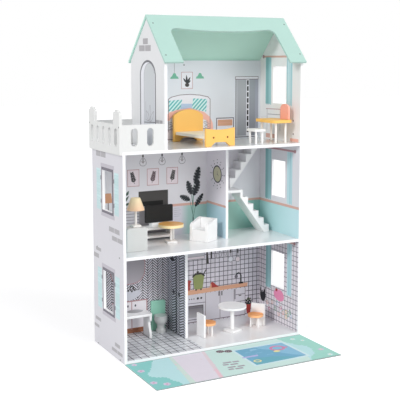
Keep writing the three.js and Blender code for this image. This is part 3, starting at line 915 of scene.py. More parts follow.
class Repeated:
    """Copies of one small disc or plate on points, made by a Geometry Nodes tree."""

    class Form(Enum):
        """What is copied, by the attribute that turns each disc or sizes each plate."""

        DISC = "facing"
        PLATE = "size"

    def __init__(self, form: "Repeated.Form", finish: Finish) -> None:
        """Builds the tree, with its sizes as named inputs.

        Args:
            form: what is copied.
            finish: the finish of every copy.
        """
        self.form = form
        self.finish = finish
        name = f"repeated_{form.name.lower()}"
        self.tree = bpy.data.node_groups.new(name, "GeometryNodeTree")
        self.inputs: dict[str, str] = {}
        face = self.tree.interface
        face.new_socket("Geometry", in_out="INPUT", socket_type="NodeSocketGeometry")
        for label, kind, start in (("Radius", "Float", 1.0), ("Height", "Float", 1.0),
                                   ("Sides", "Int", 16)):
            socket = face.new_socket(label, in_out="INPUT", socket_type="NodeSocket" + kind)
            socket.default_value = start
            self.inputs[label] = socket.identifier
        face.new_socket("Geometry", in_out="OUTPUT", socket_type="NodeSocketGeometry")
        self.wire()

    def wire(self) -> None:
        """Links the tree: the form, its copies on the points, their real mesh and its material."""
        add, link = Nodes(self.tree).add, self.tree.links.new
        start = add("NodeGroupInput")
        end = add("NodeGroupOutput")
        copies = add("GeometryNodeInstanceOnPoints")
        link(start.outputs["Geometry"], copies.inputs["Points"])
        given = add("GeometryNodeInputNamedAttribute", data_type="FLOAT_VECTOR")
        given.inputs["Name"].default_value = self.form.value
        if self.form is Repeated.Form.DISC:
            one = add("GeometryNodeMeshCylinder")
            link(start.outputs["Sides"], one.inputs["Vertices"])
            link(start.outputs["Radius"], one.inputs["Radius"])
            link(start.outputs["Height"], one.inputs["Depth"])
            turn = add("FunctionNodeAlignRotationToVector", axis="Z")
            link(given.outputs["Attribute"], turn.inputs["Vector"])
            link(turn.outputs["Rotation"], copies.inputs["Rotation"])
        else:
            one = add("GeometryNodeMeshCube")
            link(given.outputs["Attribute"], copies.inputs["Scale"])
        link(one.outputs["Mesh"], copies.inputs["Instance"])
        real = add("GeometryNodeRealizeInstances")
        dress = add("GeometryNodeSetMaterial")
        dress.inputs["Material"].default_value = self.finish.material()
        link(copies.outputs["Instances"], real.inputs["Geometry"])
        link(real.outputs["Geometry"], dress.inputs["Geometry"])
        link(dress.outputs["Geometry"], end.inputs["Geometry"])

    def build(self, name: str, body: str, slot: str, points: Sequence[Vector],
              vectors: Sequence[Vector], **sizes: float) -> Piece:
        """Makes one body's copies as a plain mesh.

        Args:
            name: the piece's name.
            body: the body it rides on.
            slot: not used.
            points: where each copy's middle lies, in the frame.
            vectors: the way each disc faces, or the three sizes of each plate.
            **sizes: values of the tree's named inputs.

        Returns:
            The finished piece.
        """
        mesh = bpy.data.meshes.new(name)
        mesh.from_pydata(list(points), [], [])
        layer = mesh.attributes.new(self.form.value, "FLOAT_VECTOR", "POINT")
        layer.data.foreach_set("vector", [c for vector in vectors for c in vector])
        piece = placed(name, mesh)
        modifier = piece.modifiers.new("Repeated", "NODES")
        modifier.node_group = self.tree
        for label, value in sizes.items():
            modifier[self.inputs[label]] = value
        plain(piece)
        return settle(piece, body)


# ---------- finishes of this house


WHITE = Paint("white_paint", "F5F5F5", 0.42)
WARM_WHITE = Paint("warm_white_paint", "F5F2EE", 0.42)
CABINET_WHITE = Paint("cabinet_white_paint", "D9DAD8", 0.42)
RAIL_WHITE = Paint("rail_white_paint", "DFE0DF", 0.45)
LEFT_GABLE = EdgedPaint("printed_left_gable", "E6E7E9", axis=Axis.X)
RIGHT_GABLE = EdgedPaint("printed_right_gable", "F0F0F0", axis=Axis.X)
UPPER_BACK = EdgedPaint("printed_upper_back", "E0E5EC", 0.45, axis=Axis.Y)
WALL = EdgedPaint("printed_outer_wall", "D7D6DC", axis=Axis.X)
RIGHT_WALL = EdgedPaint("printed_right_wall", "E2E1E6", axis=Axis.X)
PARTITION = EdgedPaint("printed_partition", "EBE7EF", axis=Axis.X)
BACK = EdgedPaint("printed_back_panel", "E4E3E8", 0.45, axis=Axis.Y)
FLOOR = EdgedPaint("floor_lacquer", "EEEFF1", 0.13, axis=Axis.Z)
MINT = Paint("mint_roof_paint", "AFD1C8")
# The back roof panel, seen from below in shade, gets a lighter, more saturated copy of the roof's
# mint: painted light.
MINT_PAINTED_LIGHT = Paint("mint_roof_paint_painted_light", "BEE9DB")
YELLOW = Paint("yellow_paint", "FCC566", 0.45)
CREAM = Paint("cream_paint", "FBEFDC")
CORAL = Paint("coral_paint", "FDB09C", 0.45)
SEAT = TwoTone("orange_seat_paint", "F3A25C", 0.45, lower="F3F2F1", edge="FBBB82",
               level=HOUSE.ends("left_chair_seat", Axis.Z)[1] - 7.2)
TABLE_TOP = EdgedPaint("orange_table_paint", "F1B364", 0.4, edge="FBE6B0", axis=Axis.Z)
SCREEN = Paint("black_screen_lacquer", "060606", 0.75, mottle=0.02)
BOARD_GREEN = Paint("green_board_paint", "98D2BC", 0.45)
CERAMIC = Paint("toilet_white_gloss", "D2D5D4", 0.16)
SCREW = Metal("screw_head", "6F7673", 0.4)
DARK_SCREW = Metal("dark_screw_head", "8A5A34")

FRAME_DARK = Ink("print_window_frame", "6C6873")
FRAME_LIGHT = Ink("print_window_sill", "BFBBC4")
BRICK = Ink("print_brick", "ADABAF")
OUTLINE = Ink("print_outline", "76686C")
BLACK = Ink("print_black", "33302F")
JET = Ink("print_black_pole", "15161F")
CACTUS = Ink("print_cactus", "5C6B48")
PLUM = Ink("print_plum", "5A464E")
STALK = Ink("print_stalk", "5F8B7C")
DOOR_GREY = Ink("print_door_frame", "6F7076")
NAVY = Ink("print_navy", "2A2C42")
GREY = Ink("print_grey", "9C9AA1")
PALE = Ink("print_pale", "E9EAF1")
PAPER = Ink("print_paper", "EBE0E6")
PINK_LINE = Ink("print_pink_line", "B98F94")
PINK = Ink("print_pink", "EE93B9")
CORAL_INK = Ink("print_coral", "F4BDAE")
RUST = Ink("print_rust", "D9A07C")
RED = Ink("print_red", "A8362F")
SKY = Ink("print_sky", "B4CCE8")
LEAF_DARK = Ink("print_dark_leaf", "182026")
LEAF_GREEN = Ink("print_green_leaf", "5F9C7C")
LAMP_GREEN = Ink("print_green_lamp", "6FB69C")
OLIVE = Ink("print_olive", "8F9A5E")
CLOCK_FACE = Ink("print_clock_face", "C9C7A9")
GOLD = Ink("print_gold", "E9C37C")
RAIL_INK = Ink("print_rail", "DAAEA1")
WORKTOP = Timber("print_worktop", "E6B496", 0.4, dark="CF9878")
CURTAIN_DEEP = Folds("print_deep_curtain", "559A9A", light="A6D3D8", pitch=40.0, start=161.0)
CURTAIN = Folds("print_curtain", "A3D1DA", light="D0EBF0")
TEAL_WAINSCOT = Ink("print_wainscot", "9CCFC2")

LAWN = Felt("mat_lawn_felt", "BEE7EB")
PATH = Felt("mat_path_felt", "E7E0EB")
ROSE = Felt("mat_rose_felt", "E6D6DE")
STRAW = Felt("mat_straw_felt", "D3E6DF")
BLOSSOM = Felt("mat_blossom_felt", "EFC9D4")
# Dark grey lines at the mat's back and front edges: painted shadow of the gaps there.
EDGE_SHADOW = Felt("mat_edge_shadow_felt", "7F8F90")
SHRUB = Felt("mat_shrub_felt", "85CFCB")
HEDGE = Felt("mat_hedge_felt", "A0DBCE")
SLATE = Felt("mat_slate_felt", "A39EA8")
MAT_PLUM = Felt("mat_plum_felt", "5C444C")
MAT_PALE = Felt("mat_pale_felt", "D5EEF2")
MAT_PINK = Felt("mat_pink_felt", "D985AE")
MAT_YELLOW = Felt("mat_yellow_felt", "F2E79C")
LILAC = Felt("mat_lilac_felt", "B9B9E6")
BLUSH = Felt("mat_blush_felt", "D9CCE2")
WATER = Felt("mat_water_felt", "6BAECE", 0.8)
SHALLOW = Felt("mat_shallow_felt", "62AFC2", 0.8)
BRIGHT = Felt("mat_bright_water_felt", "86C0DE", 0.8)
WAVE = Felt("mat_wave_felt", "93C6E2", 0.8)


class Room(Enum):
    """The rooms, by the node that each stands on."""

    BATH = "base_board"
    LIVING = "middle_floor"
    BEDROOM = "top_floor"

    @property
    def floor(self) -> float:
        """The level of the room's floor above the ground, in millimetres."""
        return HOUSE.ends(self.value, Axis.Z)[1]


@dataclass(frozen=True)
class Span:
    """Where the rooms begin and end inside the house, in its own millimetres."""

    left: float
    right: float
    back: float
    ceiling: float
    bath: Point
    living: Point
    partition: float

    @classmethod
    def measured(cls) -> "Span":
        """Reads the boards that bound the rooms.

        Returns:
            The rooms' bounds.
        """
        return cls(
            left=HOUSE.ends("left_side_wall", Axis.X)[1],
            right=HOUSE.ends("right_side_wall", Axis.X)[0],
            back=HOUSE.ends("middle_back_panel", Axis.Y)[0],
            ceiling=HOUSE.ends("middle_floor", Axis.Z)[0],
            bath=HOUSE.ends("bath_partition", Axis.X),
            living=HOUSE.ends("living_partition", Axis.X),
            partition=HOUSE.ends("living_partition", Axis.Y)[0],
        )


@dataclass(frozen=True)
class Opening:
    """The opening of a window in a side wall or a gable."""

    front: float = 81.0
    back: float = 159.0
    height: float = 118.0
    room: float = 0.4

    def hole(self, level: float) -> list[Point]:
        """Gives the corners of an opening at some level, with a little room round it."""
        return box_outline(self.front - self.room, level - self.room, self.back + self.room,
                           level + self.height + self.room)


SPAN = Span.measured()
OPENING = Opening()
SILLS = (126.0, 427.0)  # the lower edges of a side wall's windows
WALL_FRONT = 0.6  # how far from the house's front the prints inside its side walls begin


# ---------- what is fixed to the boards and printed outside


@dataclass
class Fasteners:
    """Screw heads and dowel caps, copied by one tree for each finish."""

    radius: float = 2.3
    height: float = 0.7
    facets: int = 20
    roof_pitch: float = 46.0
    roof_points: Rows = (
        (138.9, 95.3, 972.4), (137.7, 5.9, 879.8), (592.9, 99.7, 977.0), (594.0, 10.2, 884.3),
    )
    wall_points: Points = ((30, 305.5), (207, 305.5), (32, 4.5), (207, 4.5))
    panel_points: Points = ((308.7, 850.5),)
    rail_points: Points = ((4.5, 680.0), (235.5, 680.0))
    rail_sink: float = -0.33
    cap_radius: float = 3.0
    cap_points: Row = (-24.5, 24.5)
    cap_level: float = 26.2
    footboard: float = 9.0
    bed_turn: float = 3.0

    def build(self) -> None:
        """Makes the house's screws and the bed's caps."""
        self.screws()
        self.caps()

    def sizes(self, radius: float) -> dict[str, float]:
        """Gives the tree's inputs for a head of some radius, in millimetres."""
        return {"Radius": radius * MM, "Height": self.height * MM, "Sides": self.facets}

    def screws(self) -> None:
        """Puts screws in the roof, the walls, the upper back panel and the balcony's side rail."""
        slope = math.radians(self.roof_pitch)
        points = [HOUSE.at(*point) for point in self.roof_points]
        ways = [Vector((0, -math.sin(slope), math.cos(slope)))] * len(points)
        for node, axis, side, spots, lift in (
            ("left_side_wall", Axis.X, -1, self.wall_points, 0.0),
            ("right_side_wall", Axis.X, 1, self.wall_points, 0.0),
            ("upper_back_panel", Axis.Y, -1, self.panel_points, 0.0),
            ("balcony_side_rail", Axis.X, -1, self.rail_points, self.rail_sink),
        ):
            face = Face.of(node, axis, side)
            points += [face.point(u, v, lift) for u, v in spots]
            ways += [face.normal] * len(spots)
        heads = Repeated(Repeated.Form.DISC, SCREW)
        heads.build("house_screws", "house", "silver_turned", points, ways,
                    **self.sizes(self.radius))

    def caps(self) -> None:
        """Puts caps in the front of the bed's turned footboard."""
        low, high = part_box("bed_footboard")
        turn = math.radians(self.bed_turn)
        out = Vector((math.sin(turn), -math.cos(turn), 0))
        along = Vector((math.cos(turn), math.sin(turn), 0))
        middle = (low + high) / 2
        centre = Vector((middle.x, middle.y, low.z + self.cap_level * MM))
        centre += out * self.footboard * MM / 2
        spots = [centre + along * x * MM for x in self.cap_points]
        caps = Repeated(Repeated.Form.DISC, DARK_SCREW)
        caps.build("bed_caps", "bed", "yellow_board", spots, [out] * len(spots),
                   **self.sizes(self.cap_radius))


@dataclass
class Brickwork:
    """Groups of printed bricks on the outer walls, copied by one tree.

    Each brick has its front and back end, and its lower and upper edge.
    """

    plate: float = 0.12
    wall: Rows = (
        (129, 166, 583, 599), (169, 206, 583, 599),
        (28, 66, 371, 385), (69, 108, 371, 385), (6.5, 44, 348, 361), (47, 85, 348, 361),
        (175, 217, 295, 305), (193, 235, 272, 285), (183, 226, 77, 87), (198, 238, 54, 63),
        (33, 72, 36, 47), (15, 53, 17, 27), (56, 96, 17, 27),
    )
    gable: Rows = (
        (113, 148, 912, 929), (93, 132, 892, 909), (136, 176, 892, 909),
        (38, 59, 684, 694), (15, 35, 684, 694),
    )

    def build(self) -> None:
        """Makes the bricks of both side walls and both gables."""
        points: list[Vector] = []
        sizes: list[Vector] = []
        for node, side, bricks in (
            ("left_side_wall", -1, self.wall), ("left_gable_wall", -1, self.gable),
            ("right_side_wall", 1, self.wall), ("right_gable_wall", 1, self.gable),
        ):
            face = Face.of(node, Axis.X, side)
            lift = self.plate / 2 + Print.START
            for front, back, low, high in bricks:
                points.append(face.point((front + back) / 2, (low + high) / 2, lift))
                sizes.append(Vector((self.plate, back - front, high - low)) * MM)
        bond = Repeated(Repeated.Form.PLATE, BRICK)
        bond.build("printed_bricks", "house", "printed_wall", points, sizes)


@dataclass
class OuterWindows:
    """Printed frames, sills and shutters round the windows, as seen from outside."""

    gable_sill: float = 117.0
    rim: Point = (70.0, 165.0)
    above: float = 9.0
    below: float = 8.0
    ledge: Point = (64.0, 169.0)
    ledge_height: float = 11.0
    shutters: Points = ((31.0, 64.0), (171.0, 204.0))
    hinge: Point = (5.0, 12.0)
    slats: Finish = Tiles("print_shutter", "C7E1E4", joint="B9D8DC", across=Axis.Y,
                          wide=900.0, high=9.0, line=1.6, start_across=400.0)

    def build(self) -> None:
        """Prints the windows on both side walls and on the right gable."""
        upper = Room.BEDROOM.floor + self.gable_sill
        for name, node, side, sills in (
            ("left_wall_print", "left_side_wall", -1, SILLS),
            ("right_wall_print", "right_side_wall", 1, SILLS),
            ("right_gable_print", "right_gable_wall", 1, (upper,)),
        ):
            sheet = Print(name, Face.of(node, Axis.X, side))
            for level in sills:
                self.window(sheet, level)
            sheet.press()

    def window(self, sheet: Print, level: float) -> None:
        """Prints one window's frame, lintel, sill, shutters and hinges.

        Args:
            sheet: the wall's print.
            level: the opening's lower edge above the ground.
        """
        top = level + OPENING.height
        low, high = level - self.below, top + self.above
        rim = box_outline(self.rim[0], low, self.rim[1], high)
        sheet.shape(rim, FRAME_DARK, 0, [OPENING.hole(level)])
        for base in (high, low - self.ledge_height):
            sheet.box(self.ledge[0], base, self.ledge[1], base + self.ledge_height, FRAME_LIGHT)
        wide, tall = self.hinge
        for index, (start, end) in enumerate(self.shutters):
            sheet.box(start, level - 3, end, top + 2, self.slats)
            edge = start - 4 if index else end
            for base in (level + 18, top - 30):
                sheet.box(edge, base, edge + wide, base + tall, FRAME_DARK, 1)


@dataclass
class GableDoor:
    """The printed arched door that opens on the balcony."""

    middle: float = 115.5
    half: float = 56.5
    spring: float = 820.0
    rise: float = 46.0
    frame: float = 6.5
    pane: float = 9.5
    pane_end: float = 142.0
    leaves: Rows = ((108, 688, 34, 60), (104, 690, 46, 95), (96, 688, 36, 125))
    glass: Finish = Fade("print_door_glass", "CDD1D8", 0.3, other="C6CBCE", start=690.0, end=850.0)

    def arch(self, inset: float, near: Optional[float] = None) -> list[Point]:
        """Gives the door's outline.

        Args:
            inset: how far it is moved in all round.
            near: where its far side stands instead, if it isn't the door's own.

        Returns:
            The outline, from the floor's two corners on.
        """
        base = Room.BEDROOM.floor
        left = self.middle - self.half + inset
        right = self.middle + self.half - inset if near is None else near
        centre, half = (left + right) / 2, (right - left) / 2
        top = oval(centre, self.spring, half, self.rise - inset, 17, 0, 180)
        return [(left, base), (right, base), *top]

    def build(self) -> None:
        """Prints the door's outline, its frame and its glass with a plant behind it."""
        sheet = Print("gable_door_print", Face.of("left_gable_wall", Axis.X, -1))
        sheet.shape(self.arch(0), DOOR_GREY)
        sheet.shape(self.arch(self.frame), PALE, 1)
        pane = self.arch(self.pane, self.pane_end)
        sheet.shape(pane, self.glass, 2)
        sheet.line(pane[1:-1], 1.4, GREY, 3)
        sheet.line([(130, 744), (130, 690), (90, 686)], 1.6, GREY, 3)
        for u, v, size, turn in self.leaves:
            rim = leaf(u, v, size, 13, turn)
            for side in (rim[:LEAF_TIP + 1], [*rim[LEAF_TIP:], rim[0]]):
                sheet.line(side, 1.5, GREY, 3)
        sheet.line([(62, 686), (144, 682)], 2.4, DOOR_GREY, 3)
        sheet.press()


# ---------- the printed rooms


@dataclass(frozen=True)
class SideWindowDrape:
    """Printed curtains on a rod beside the window of a side wall, seen from inside."""

    back: Point
    front: Point
    low: float
    high: float
    rod: float
    rod_finish: Finish = RAIL_INK
    overhang: float = 14.0
    knob: float = 6.0
    folds: int = 6
    hem: Point = (-1.0, 2.0)

    def draw(self, sheet: Print) -> None:
        """Prints the rod with its knobs and both curtains.

        Args:
            sheet: the wall's print.
        """
        last = self.back[1] + self.overhang
        first = self.front[0] - self.overhang
        sheet.box(first, self.rod - self.knob / 2, last, self.rod + self.knob / 2,
                  self.rod_finish, 1)
        for end in (first, last):
            sheet.shape(oval(end, self.rod, self.knob, self.knob, 20), PINK_LINE, 2)
        for (start, end), cloth in ((self.back, CURTAIN_DEEP), (self.front, CURTAIN)):
            width = (end - start) / self.folds
            hem = []
            for i in range(self.folds):
                level = self.low + self.hem[i % 2]
                hem += [(start + i * width, level), (start + (i + 0.7) * width, level)]
            rim = [*hem, (end, self.low), (end, self.high), (start, self.high)]
            sheet.shape(rim, cloth, 3)


@dataclass
class BedroomPrint(Print):
    """What is printed on the bedroom's back wall and on its side walls."""

    name: str = "bedroom_back_print"
    face: Face = Face.of("upper_back_panel", Axis.Y, -1)
    head: Outline = ((254, 640), (254, 744), (264, 750), (294, 756.5), (330, 758), (365, 755),
                     (394, 749), (402, 742), (402, 640))
    middle_pillow: Outline = ((280, 702), (276, 716), (300, 729), (338, 728), (345, 708),
                              (330, 702))
    pillows: tuple[Outline, ...] = (
        ((253, 705), (254, 739), (302, 742), (298, 722), (294, 707)),
        ((336, 709), (341, 745), (391, 742), (388, 702), (360, 706)),
    )
    blanket: Outline = ((240, 676), (244, 690), (256, 702), (280, 709), (330, 715), (380, 701),
                        (402, 684), (412, 664), (414, 640), (395, 640), (388, 674), (340, 690),
                        (270, 690), (256, 676))
    wardrobe_levels: Point = (619, 804)
    wardrobe_boards: tuple[tuple[float, float, Finish], ...] = (
        (498, 504, Ink("print_wardrobe_post", "B9BDC3")),
        (504, 537, Fade("print_wardrobe_left", "9DA1A9", 0.4, other="B0B4BA", start=640.0,
                        end=800.0)),
        (537, 548, PALE),
        (548, 571, Fade("print_wardrobe_right", "8E939D", 0.4, other="A3A8B0", start=640.0,
                        end=800.0)),
        (571, 583, Ink("print_wardrobe_side", "A4A8B6")),
    )
    cornice: Row = (495.5, 804, 582, 812)
    lamp_middles: Row = (275, 365.5)
    picture_rim: Row = (300, 776, 338.7, 828)
    picture_leaves: Points = ((60, 24), (95, 27), (130, 22), (35, 15))
    drape: SideWindowDrape = SideWindowDrape((169, 202), (46, 77), 723, 875, 877)

    def build(self) -> None:
        """Prints the walls of the bedroom."""
        for part in (self.bed, self.nightstand, self.wardrobe, self.lamps, self.picture):
            part()
        self.press(slot="printed_back")
        for name, node, side in (("bedroom_right_print", "right_gable_wall", -1),
                                 ("bedroom_left_print", "left_gable_wall", 1)):
            wall = Print(name, Face.of(node, Axis.X, side))
            if side < 0:
                self.drape.draw(wall)
            self.rack(wall)
            wall.press()

    def bed(self) -> None:
        """Prints the bed's head with its pillows, sheet and blanket."""
        self.shape(self.head, PALE)
        stripes = Slanted("print_pillow", "D2F0EF", other="62BBBE", pitch=13.5)
        self.shape(self.middle_pillow, SKY, 1)
        for pillow in self.pillows:
            self.shape(pillow, stripes, 2)
        self.shape(self.blanket, CORAL_INK, 3)
        self.box(246, 612, 400, 646, Ink("print_bed_base", "DCD3D8"), 1)
        for v in (617, 647.5):
            self.line([(246, v), (400, v)], 2.2, OUTLINE, 3)
        for i in range(5):
            level = 668 - 4.5 * i
            for u in (378 + 3 * i % 7, 252 + 4 * i % 9):
                self.line([(u, level), (u + 15, level + 4)], 2.2, GREY, 4)
        self.line(self.head, 2, OUTLINE, 4)

    def nightstand(self) -> None:
        """Prints the small chest beside the bed."""
        self.box(425, 618, 491, 680, PALE)
        self.box(430, 654, 485, 674, WORKTOP, 1)
        self.line([(426, 618), (426, 679), (489, 679), (489, 618)], 3, FRAME_DARK, 2)

    def wardrobe(self) -> None:
        """Prints the tall wardrobe with its cornice and the seam between its doors."""
        low, high = self.wardrobe_levels
        for start, end, finish in self.wardrobe_boards:
            self.box(start, low, end, high, finish)
        self.box(*self.cornice, PALE)
        self.line(box_outline(*self.cornice), 1.8, OUTLINE, 1, closed=True)
        self.line([(497, high), (497, 612)], 2.2, FRAME_DARK, 1)
        self.line([(495, 615), (580, 615)], 3, FRAME_DARK, 2)
        for i in range(9):
            level = 630 + i * 19.4
            self.box(539.5, level, 545.5, level + 15, JET, 2)

    def lamps(self) -> None:
        """Prints two green hanging lamps."""
        self.line([(275, 863), (275, 824)], 1.5, GREY)
        for u in self.lamp_middles:
            self.shape([(u - 9, 814), (u + 9, 814), (u + 3.5, 825), (u - 3.5, 825)],
                       LAMP_GREEN, 1)
            self.shape([(u - 15, 807.5), (u + 15, 807.5), (u + 12, 814.5), (u - 12, 814.5)],
                       LAMP_GREEN)

    def picture(self) -> None:
        """Prints a framed sprig in a round pot."""
        self.box(*self.picture_rim, PALE)
        self.line(box_outline(*self.picture_rim), 1.6, PINK_LINE, 1, closed=True)
        self.shape(oval(319.5, 788, 7.5, 6.5, 20), BLACK, 1)
        for turn, size in self.picture_leaves:
            self.shape(leaf(319.5, 793, size, 6.5, turn), LEAF_DARK, 1)

    def rack(self, wall: Print) -> None:
        """Prints a low clothes rail, toy blocks and dots under the window.

        Args:
            wall: the side wall's print.
        """
        wall.line([(199, 708), (108, 710)], 2.2, PINK_LINE)
        wall.line([(188, 691), (112, 692.5)], 1.8, GREY)
        wall.line([(192, 708), (192, 640)], 1.8, GREY)
        wall.line([(114, 710), (114, 640)], 1.8, GREY)
        wall.box(140, 614, 198, 628, RAIL_INK)
        wall.box(8, 612, 55, 622, CORAL_INK)
        for level in (678, 636):
            wall.shape(oval(38, level, 3, 3, 14), OUTLINE)


@dataclass
class LivingPrint(Print):
    """What is printed in the living room and by the stairs."""

    name: str = "living_back_print"
    face: Face = Face.of("middle_back_panel", Axis.Y, -1)
    bulbs: Row = (165.5, 231, 301)
    bulb: Outline = ((-4, 563), (-9.5, 554), (-11.5, 547), (-9, 541.5), (-4, 538.5), (4, 538.5),
                     (9, 541.5), (11.5, 547), (9.5, 554), (4, 563))
    frames: tuple[tuple[float, float, Point, float, Finish], ...] = (
        (113.3, 151.5, (136, 484), 104, JET),
        (179.5, 218.5, (195.5, 483), 77, PLUM),
        (247, 285.5, (263.5, 483), 77, BLACK),
    )
    frame_levels: Point = (476.5, 528)
    sprig_length: float = 34
    stems: tuple[Outline, ...] = (
        ((340, 312), (339.5, 358), (339, 418), (343, 467), (346, 476)),
        ((339, 400), (334, 440)), ((339.5, 390), (343, 437)), ((339.3, 372), (328, 421)),
        ((339.5, 355), (349, 399)),
    )
    fronds: Rows = (
        (347.5, 470, 58, 24, 75), (342, 433, 52, 24, 67), (334.5, 437, 48, 22, 108),
        (329, 419, 40, 19, 156), (348, 397, 50, 17.5, 55),
    )
    corner_leaves: Rows = (
        (98, 425, 30, 50), (104, 436, 24, 95), (102, 418, 24, 20), (108, 448, 18, 60),
        (92, 430, 26, 120),
    )
    back_rail: Point = (402.5, 410.5)
    left_rail: Point = (407, 414)
    stair_rail: Point = (402, 409)
    side_rail: Point = (401, 409)
    clock: Point = (164, 507.5)
    clock_radii: Point = (29, 24)
    rays: int = 12
    ray_plates: Points = ((36, 3.6), (46, 3))
    drape: SideWindowDrape = SideWindowDrape((164, 199), (40, 70), 412, 577, 582, PINK_LINE)

    def build(self) -> None:
        """Prints the walls of the middle floor."""
        for part in (self.hung_bulbs, self.pictures, self.fireplace, self.plant, self.wainscot,
                     self.corner_lamp):
            part()
        self.press(slot="printed_back")
        self.partition()
        self.side_walls()

    def hung_bulbs(self) -> None:
        """Prints three bare bulbs on cords."""
        for middle in self.bulbs:
            self.line([(middle, 600), (middle, 573)], 1.4, GREY)
            self.box(middle - 2.6, 566, middle + 2.6, 573, JET, 1)
            self.line([(middle, 567), (middle, 551)], 2.4, BLACK, 2)
            self.line([(middle + u, v) for u, v in self.bulb], 1.7, GREY, 1)
            self.line([(middle - 5, 553), (middle, 547), (middle + 5, 553)], 1.6, OUTLINE, 1)

    def pictures(self) -> None:
        """Prints three framed sprigs."""
        low, high = self.frame_levels
        for left, right, foot, turn, ink in self.frames:
            self.box(left, low, right, high, PAPER)
            self.line(box_outline(left, low, right, high), 1.7, PINK_LINE, 1, closed=True)
            self.sprig(foot, turn, ink)

    def sprig(self, foot: Point, degrees: float, ink: Finish) -> None:
        """Prints a stalk with leaves in pairs.

        Args:
            foot: the point that the stalk grows from.
            degrees: the direction that it grows in.
            ink: what it is printed with.
        """
        cos, sin = math.cos(math.radians(degrees)), math.sin(math.radians(degrees))

        def along(reach: float) -> Point:
            """Gives the stalk's point at some reach from its foot."""
            return foot[0] + reach * cos, foot[1] + reach * sin

        self.line([foot, along(self.sprig_length)], 1.4, ink, 1)
        for i in range(6):
            for side in (-48, 48):
                rim = leaf(*along(6.0 + 5.4 * i), 12.0 - 0.8 * i, 4.6, degrees + side)
                self.shape(rim, ink, 2)

    def fireplace(self) -> None:
        """Prints the black screen over a grey hearth, the TV's painted shadow on it and the
        slatted shelf beside it.
        """
        screen = Fade("print_hearth_screen", "3B3735", 0.4, other="2E2B29", start=420.0, end=458.0)
        hearth = Fade("print_hearth", "8C898D", 0.45, other="A5A2A6", start=330.0, end=412.0)
        shelf = Tiles("print_shelf", "C4C2C8", joint="8B8990", wide=600.0, high=9.5, line=2.2,
                      start_across=400.0)
        self.box(151, 316, 251, 412, hearth)
        self.box(149.5, 411, 251, 458.5, screen, 1)
        # A near-black band along the foot of the screen: the TV's painted shadow on the hearth.
        self.box(161, 412, 233.5, 426, Ink("print_hearth_tv_shadow", "080908", 0.8), 2)
        self.box(100, 330, 151, 416, shelf)

    def plant(self) -> None:
        """Prints the tall broad-leaved plant and the small one in the left corner."""
        for stem in self.stems:
            self.line(stem, 1.7, STALK, 3)
        self.line([(341, 312), (340.5, 362)], 3.4, LEAF_DARK, 4)
        for measures in self.fronds:
            self.shape(leaf(*measures, cuts=6), LEAF_DARK, 4)
        for u, v, size, turn in self.corner_leaves:
            self.shape(leaf(u, v, size, 8, turn), Ink("print_corner_leaf", "41594F"), 1)

    def wainscot(self) -> None:
        """Prints the rail with its panelling, with painted light and shade on the stair-room
        panelling, and a stack of books beside the hearth.
        """
        low, high = self.back_rail
        floor = Room.LIVING.floor
        soft = Fade("print_wainscot_edge", "DCDAE3", other="ABCFC7", axis=Axis.X, start=296.0,
                    end=324.0)
        self.box(251, floor, SPAN.living[0], low, soft)
        self.box(262, low, SPAN.living[0], high, RAIL_INK, 2)
        # Lighter by the partition and darker towards the right corner: painted light and shade on
        # the stair-room panelling.
        stair = Fade("print_stair_wainscot_painted_shade", "C6E8DB", other="8FC7BD", axis=Axis.X,
                     start=400.0, end=590.0)
        self.box(SPAN.living[1], floor, SPAN.right, low - 1, stair)
        self.box(SPAN.living[1], low - 1, SPAN.right, high - 2, RAIL_INK, 2)
        faint = Ink("print_books", "C6C5CE")
        for i in range(5):
            level = 369 + i * 6.5
            self.box(272, level, 292 + (i % 2) * 5, level + 2.2, faint, 1)

    def corner_lamp(self) -> None:
        """Prints the standing lamp in the left corner."""
        self.shape([(33, 430), (62.5, 430), (58, 460), (37, 460)], RUST)
        self.box(46.8, 330, 49.6, 430, OUTLINE)
        self.shape(oval(48.2, 330, 13, 4, 20), OUTLINE, 1)

    @staticmethod
    def panelling(wall: Print, front: float, rail: Point, finish: Finish) -> None:
        """Prints panelling under a rail, from some measure of the wall as far as the back."""
        wall.box(front, Room.LIVING.floor, SPAN.back, rail[0], finish)
        wall.box(front, rail[0], SPAN.back, rail[1], RAIL_INK, 1)

    def partition(self) -> None:
        """Prints the clock with its rays, the rail and the panelling, darkened towards the back by
        painted shade, on the partition.
        """
        face = Face.of("living_partition", Axis.X, -1)
        sheet = Print("living_partition_print", face)
        # Paler at the front and darker towards the back: painted shade on the panelling.
        shaded_aqua = Fade("print_partition_wainscot_painted_shade", "C6E1EE", other="A4CDD6", axis=Axis.Y,
                    start=110.0, end=232.0)
        self.panelling(sheet, SPAN.partition, self.left_rail, shaded_aqua)
        u, v = self.clock
        rim, dial = self.clock_radii
        sheet.shape(oval(u, v, rim, rim - 1, 36), NAVY)
        sheet.shape(oval(u, v, dial, dial, 36), CLOCK_FACE, 1)
        sheet.line([(u, v + 10), (u, v), (u - 8, v - 5)], 1.8, OUTLINE, 2)
        sheet.shape(oval(u, v, 2.2, 2.2, 12), OUTLINE, 2)
        sheet.press()
        self.clock_rays(face)
        stair = Print("stair_partition_print", Face.of("living_partition", Axis.X, 1))
        self.panelling(stair, SPAN.partition, self.stair_rail, TEAL_WAINSCOT)
        stair.press()

    def clock_rays(self, face: Face) -> None:
        """Copies small plates round the clock by a tree.

        Args:
            face: the face that the clock is on.
        """
        u, v = self.clock
        points, sizes = [], []
        for i in range(self.rays):
            turn = math.tau * i / self.rays
            for reach, width in self.ray_plates:
                points.append(face.point(u + reach * math.cos(turn), v + reach * math.sin(turn),
                                         0.08))
                sizes.append(Vector((0.1, width, width)) * MM)
        plates = Repeated(Repeated.Form.PLATE, NAVY)
        plates.build("clock_rays", "house", "printed_wall", points, sizes)

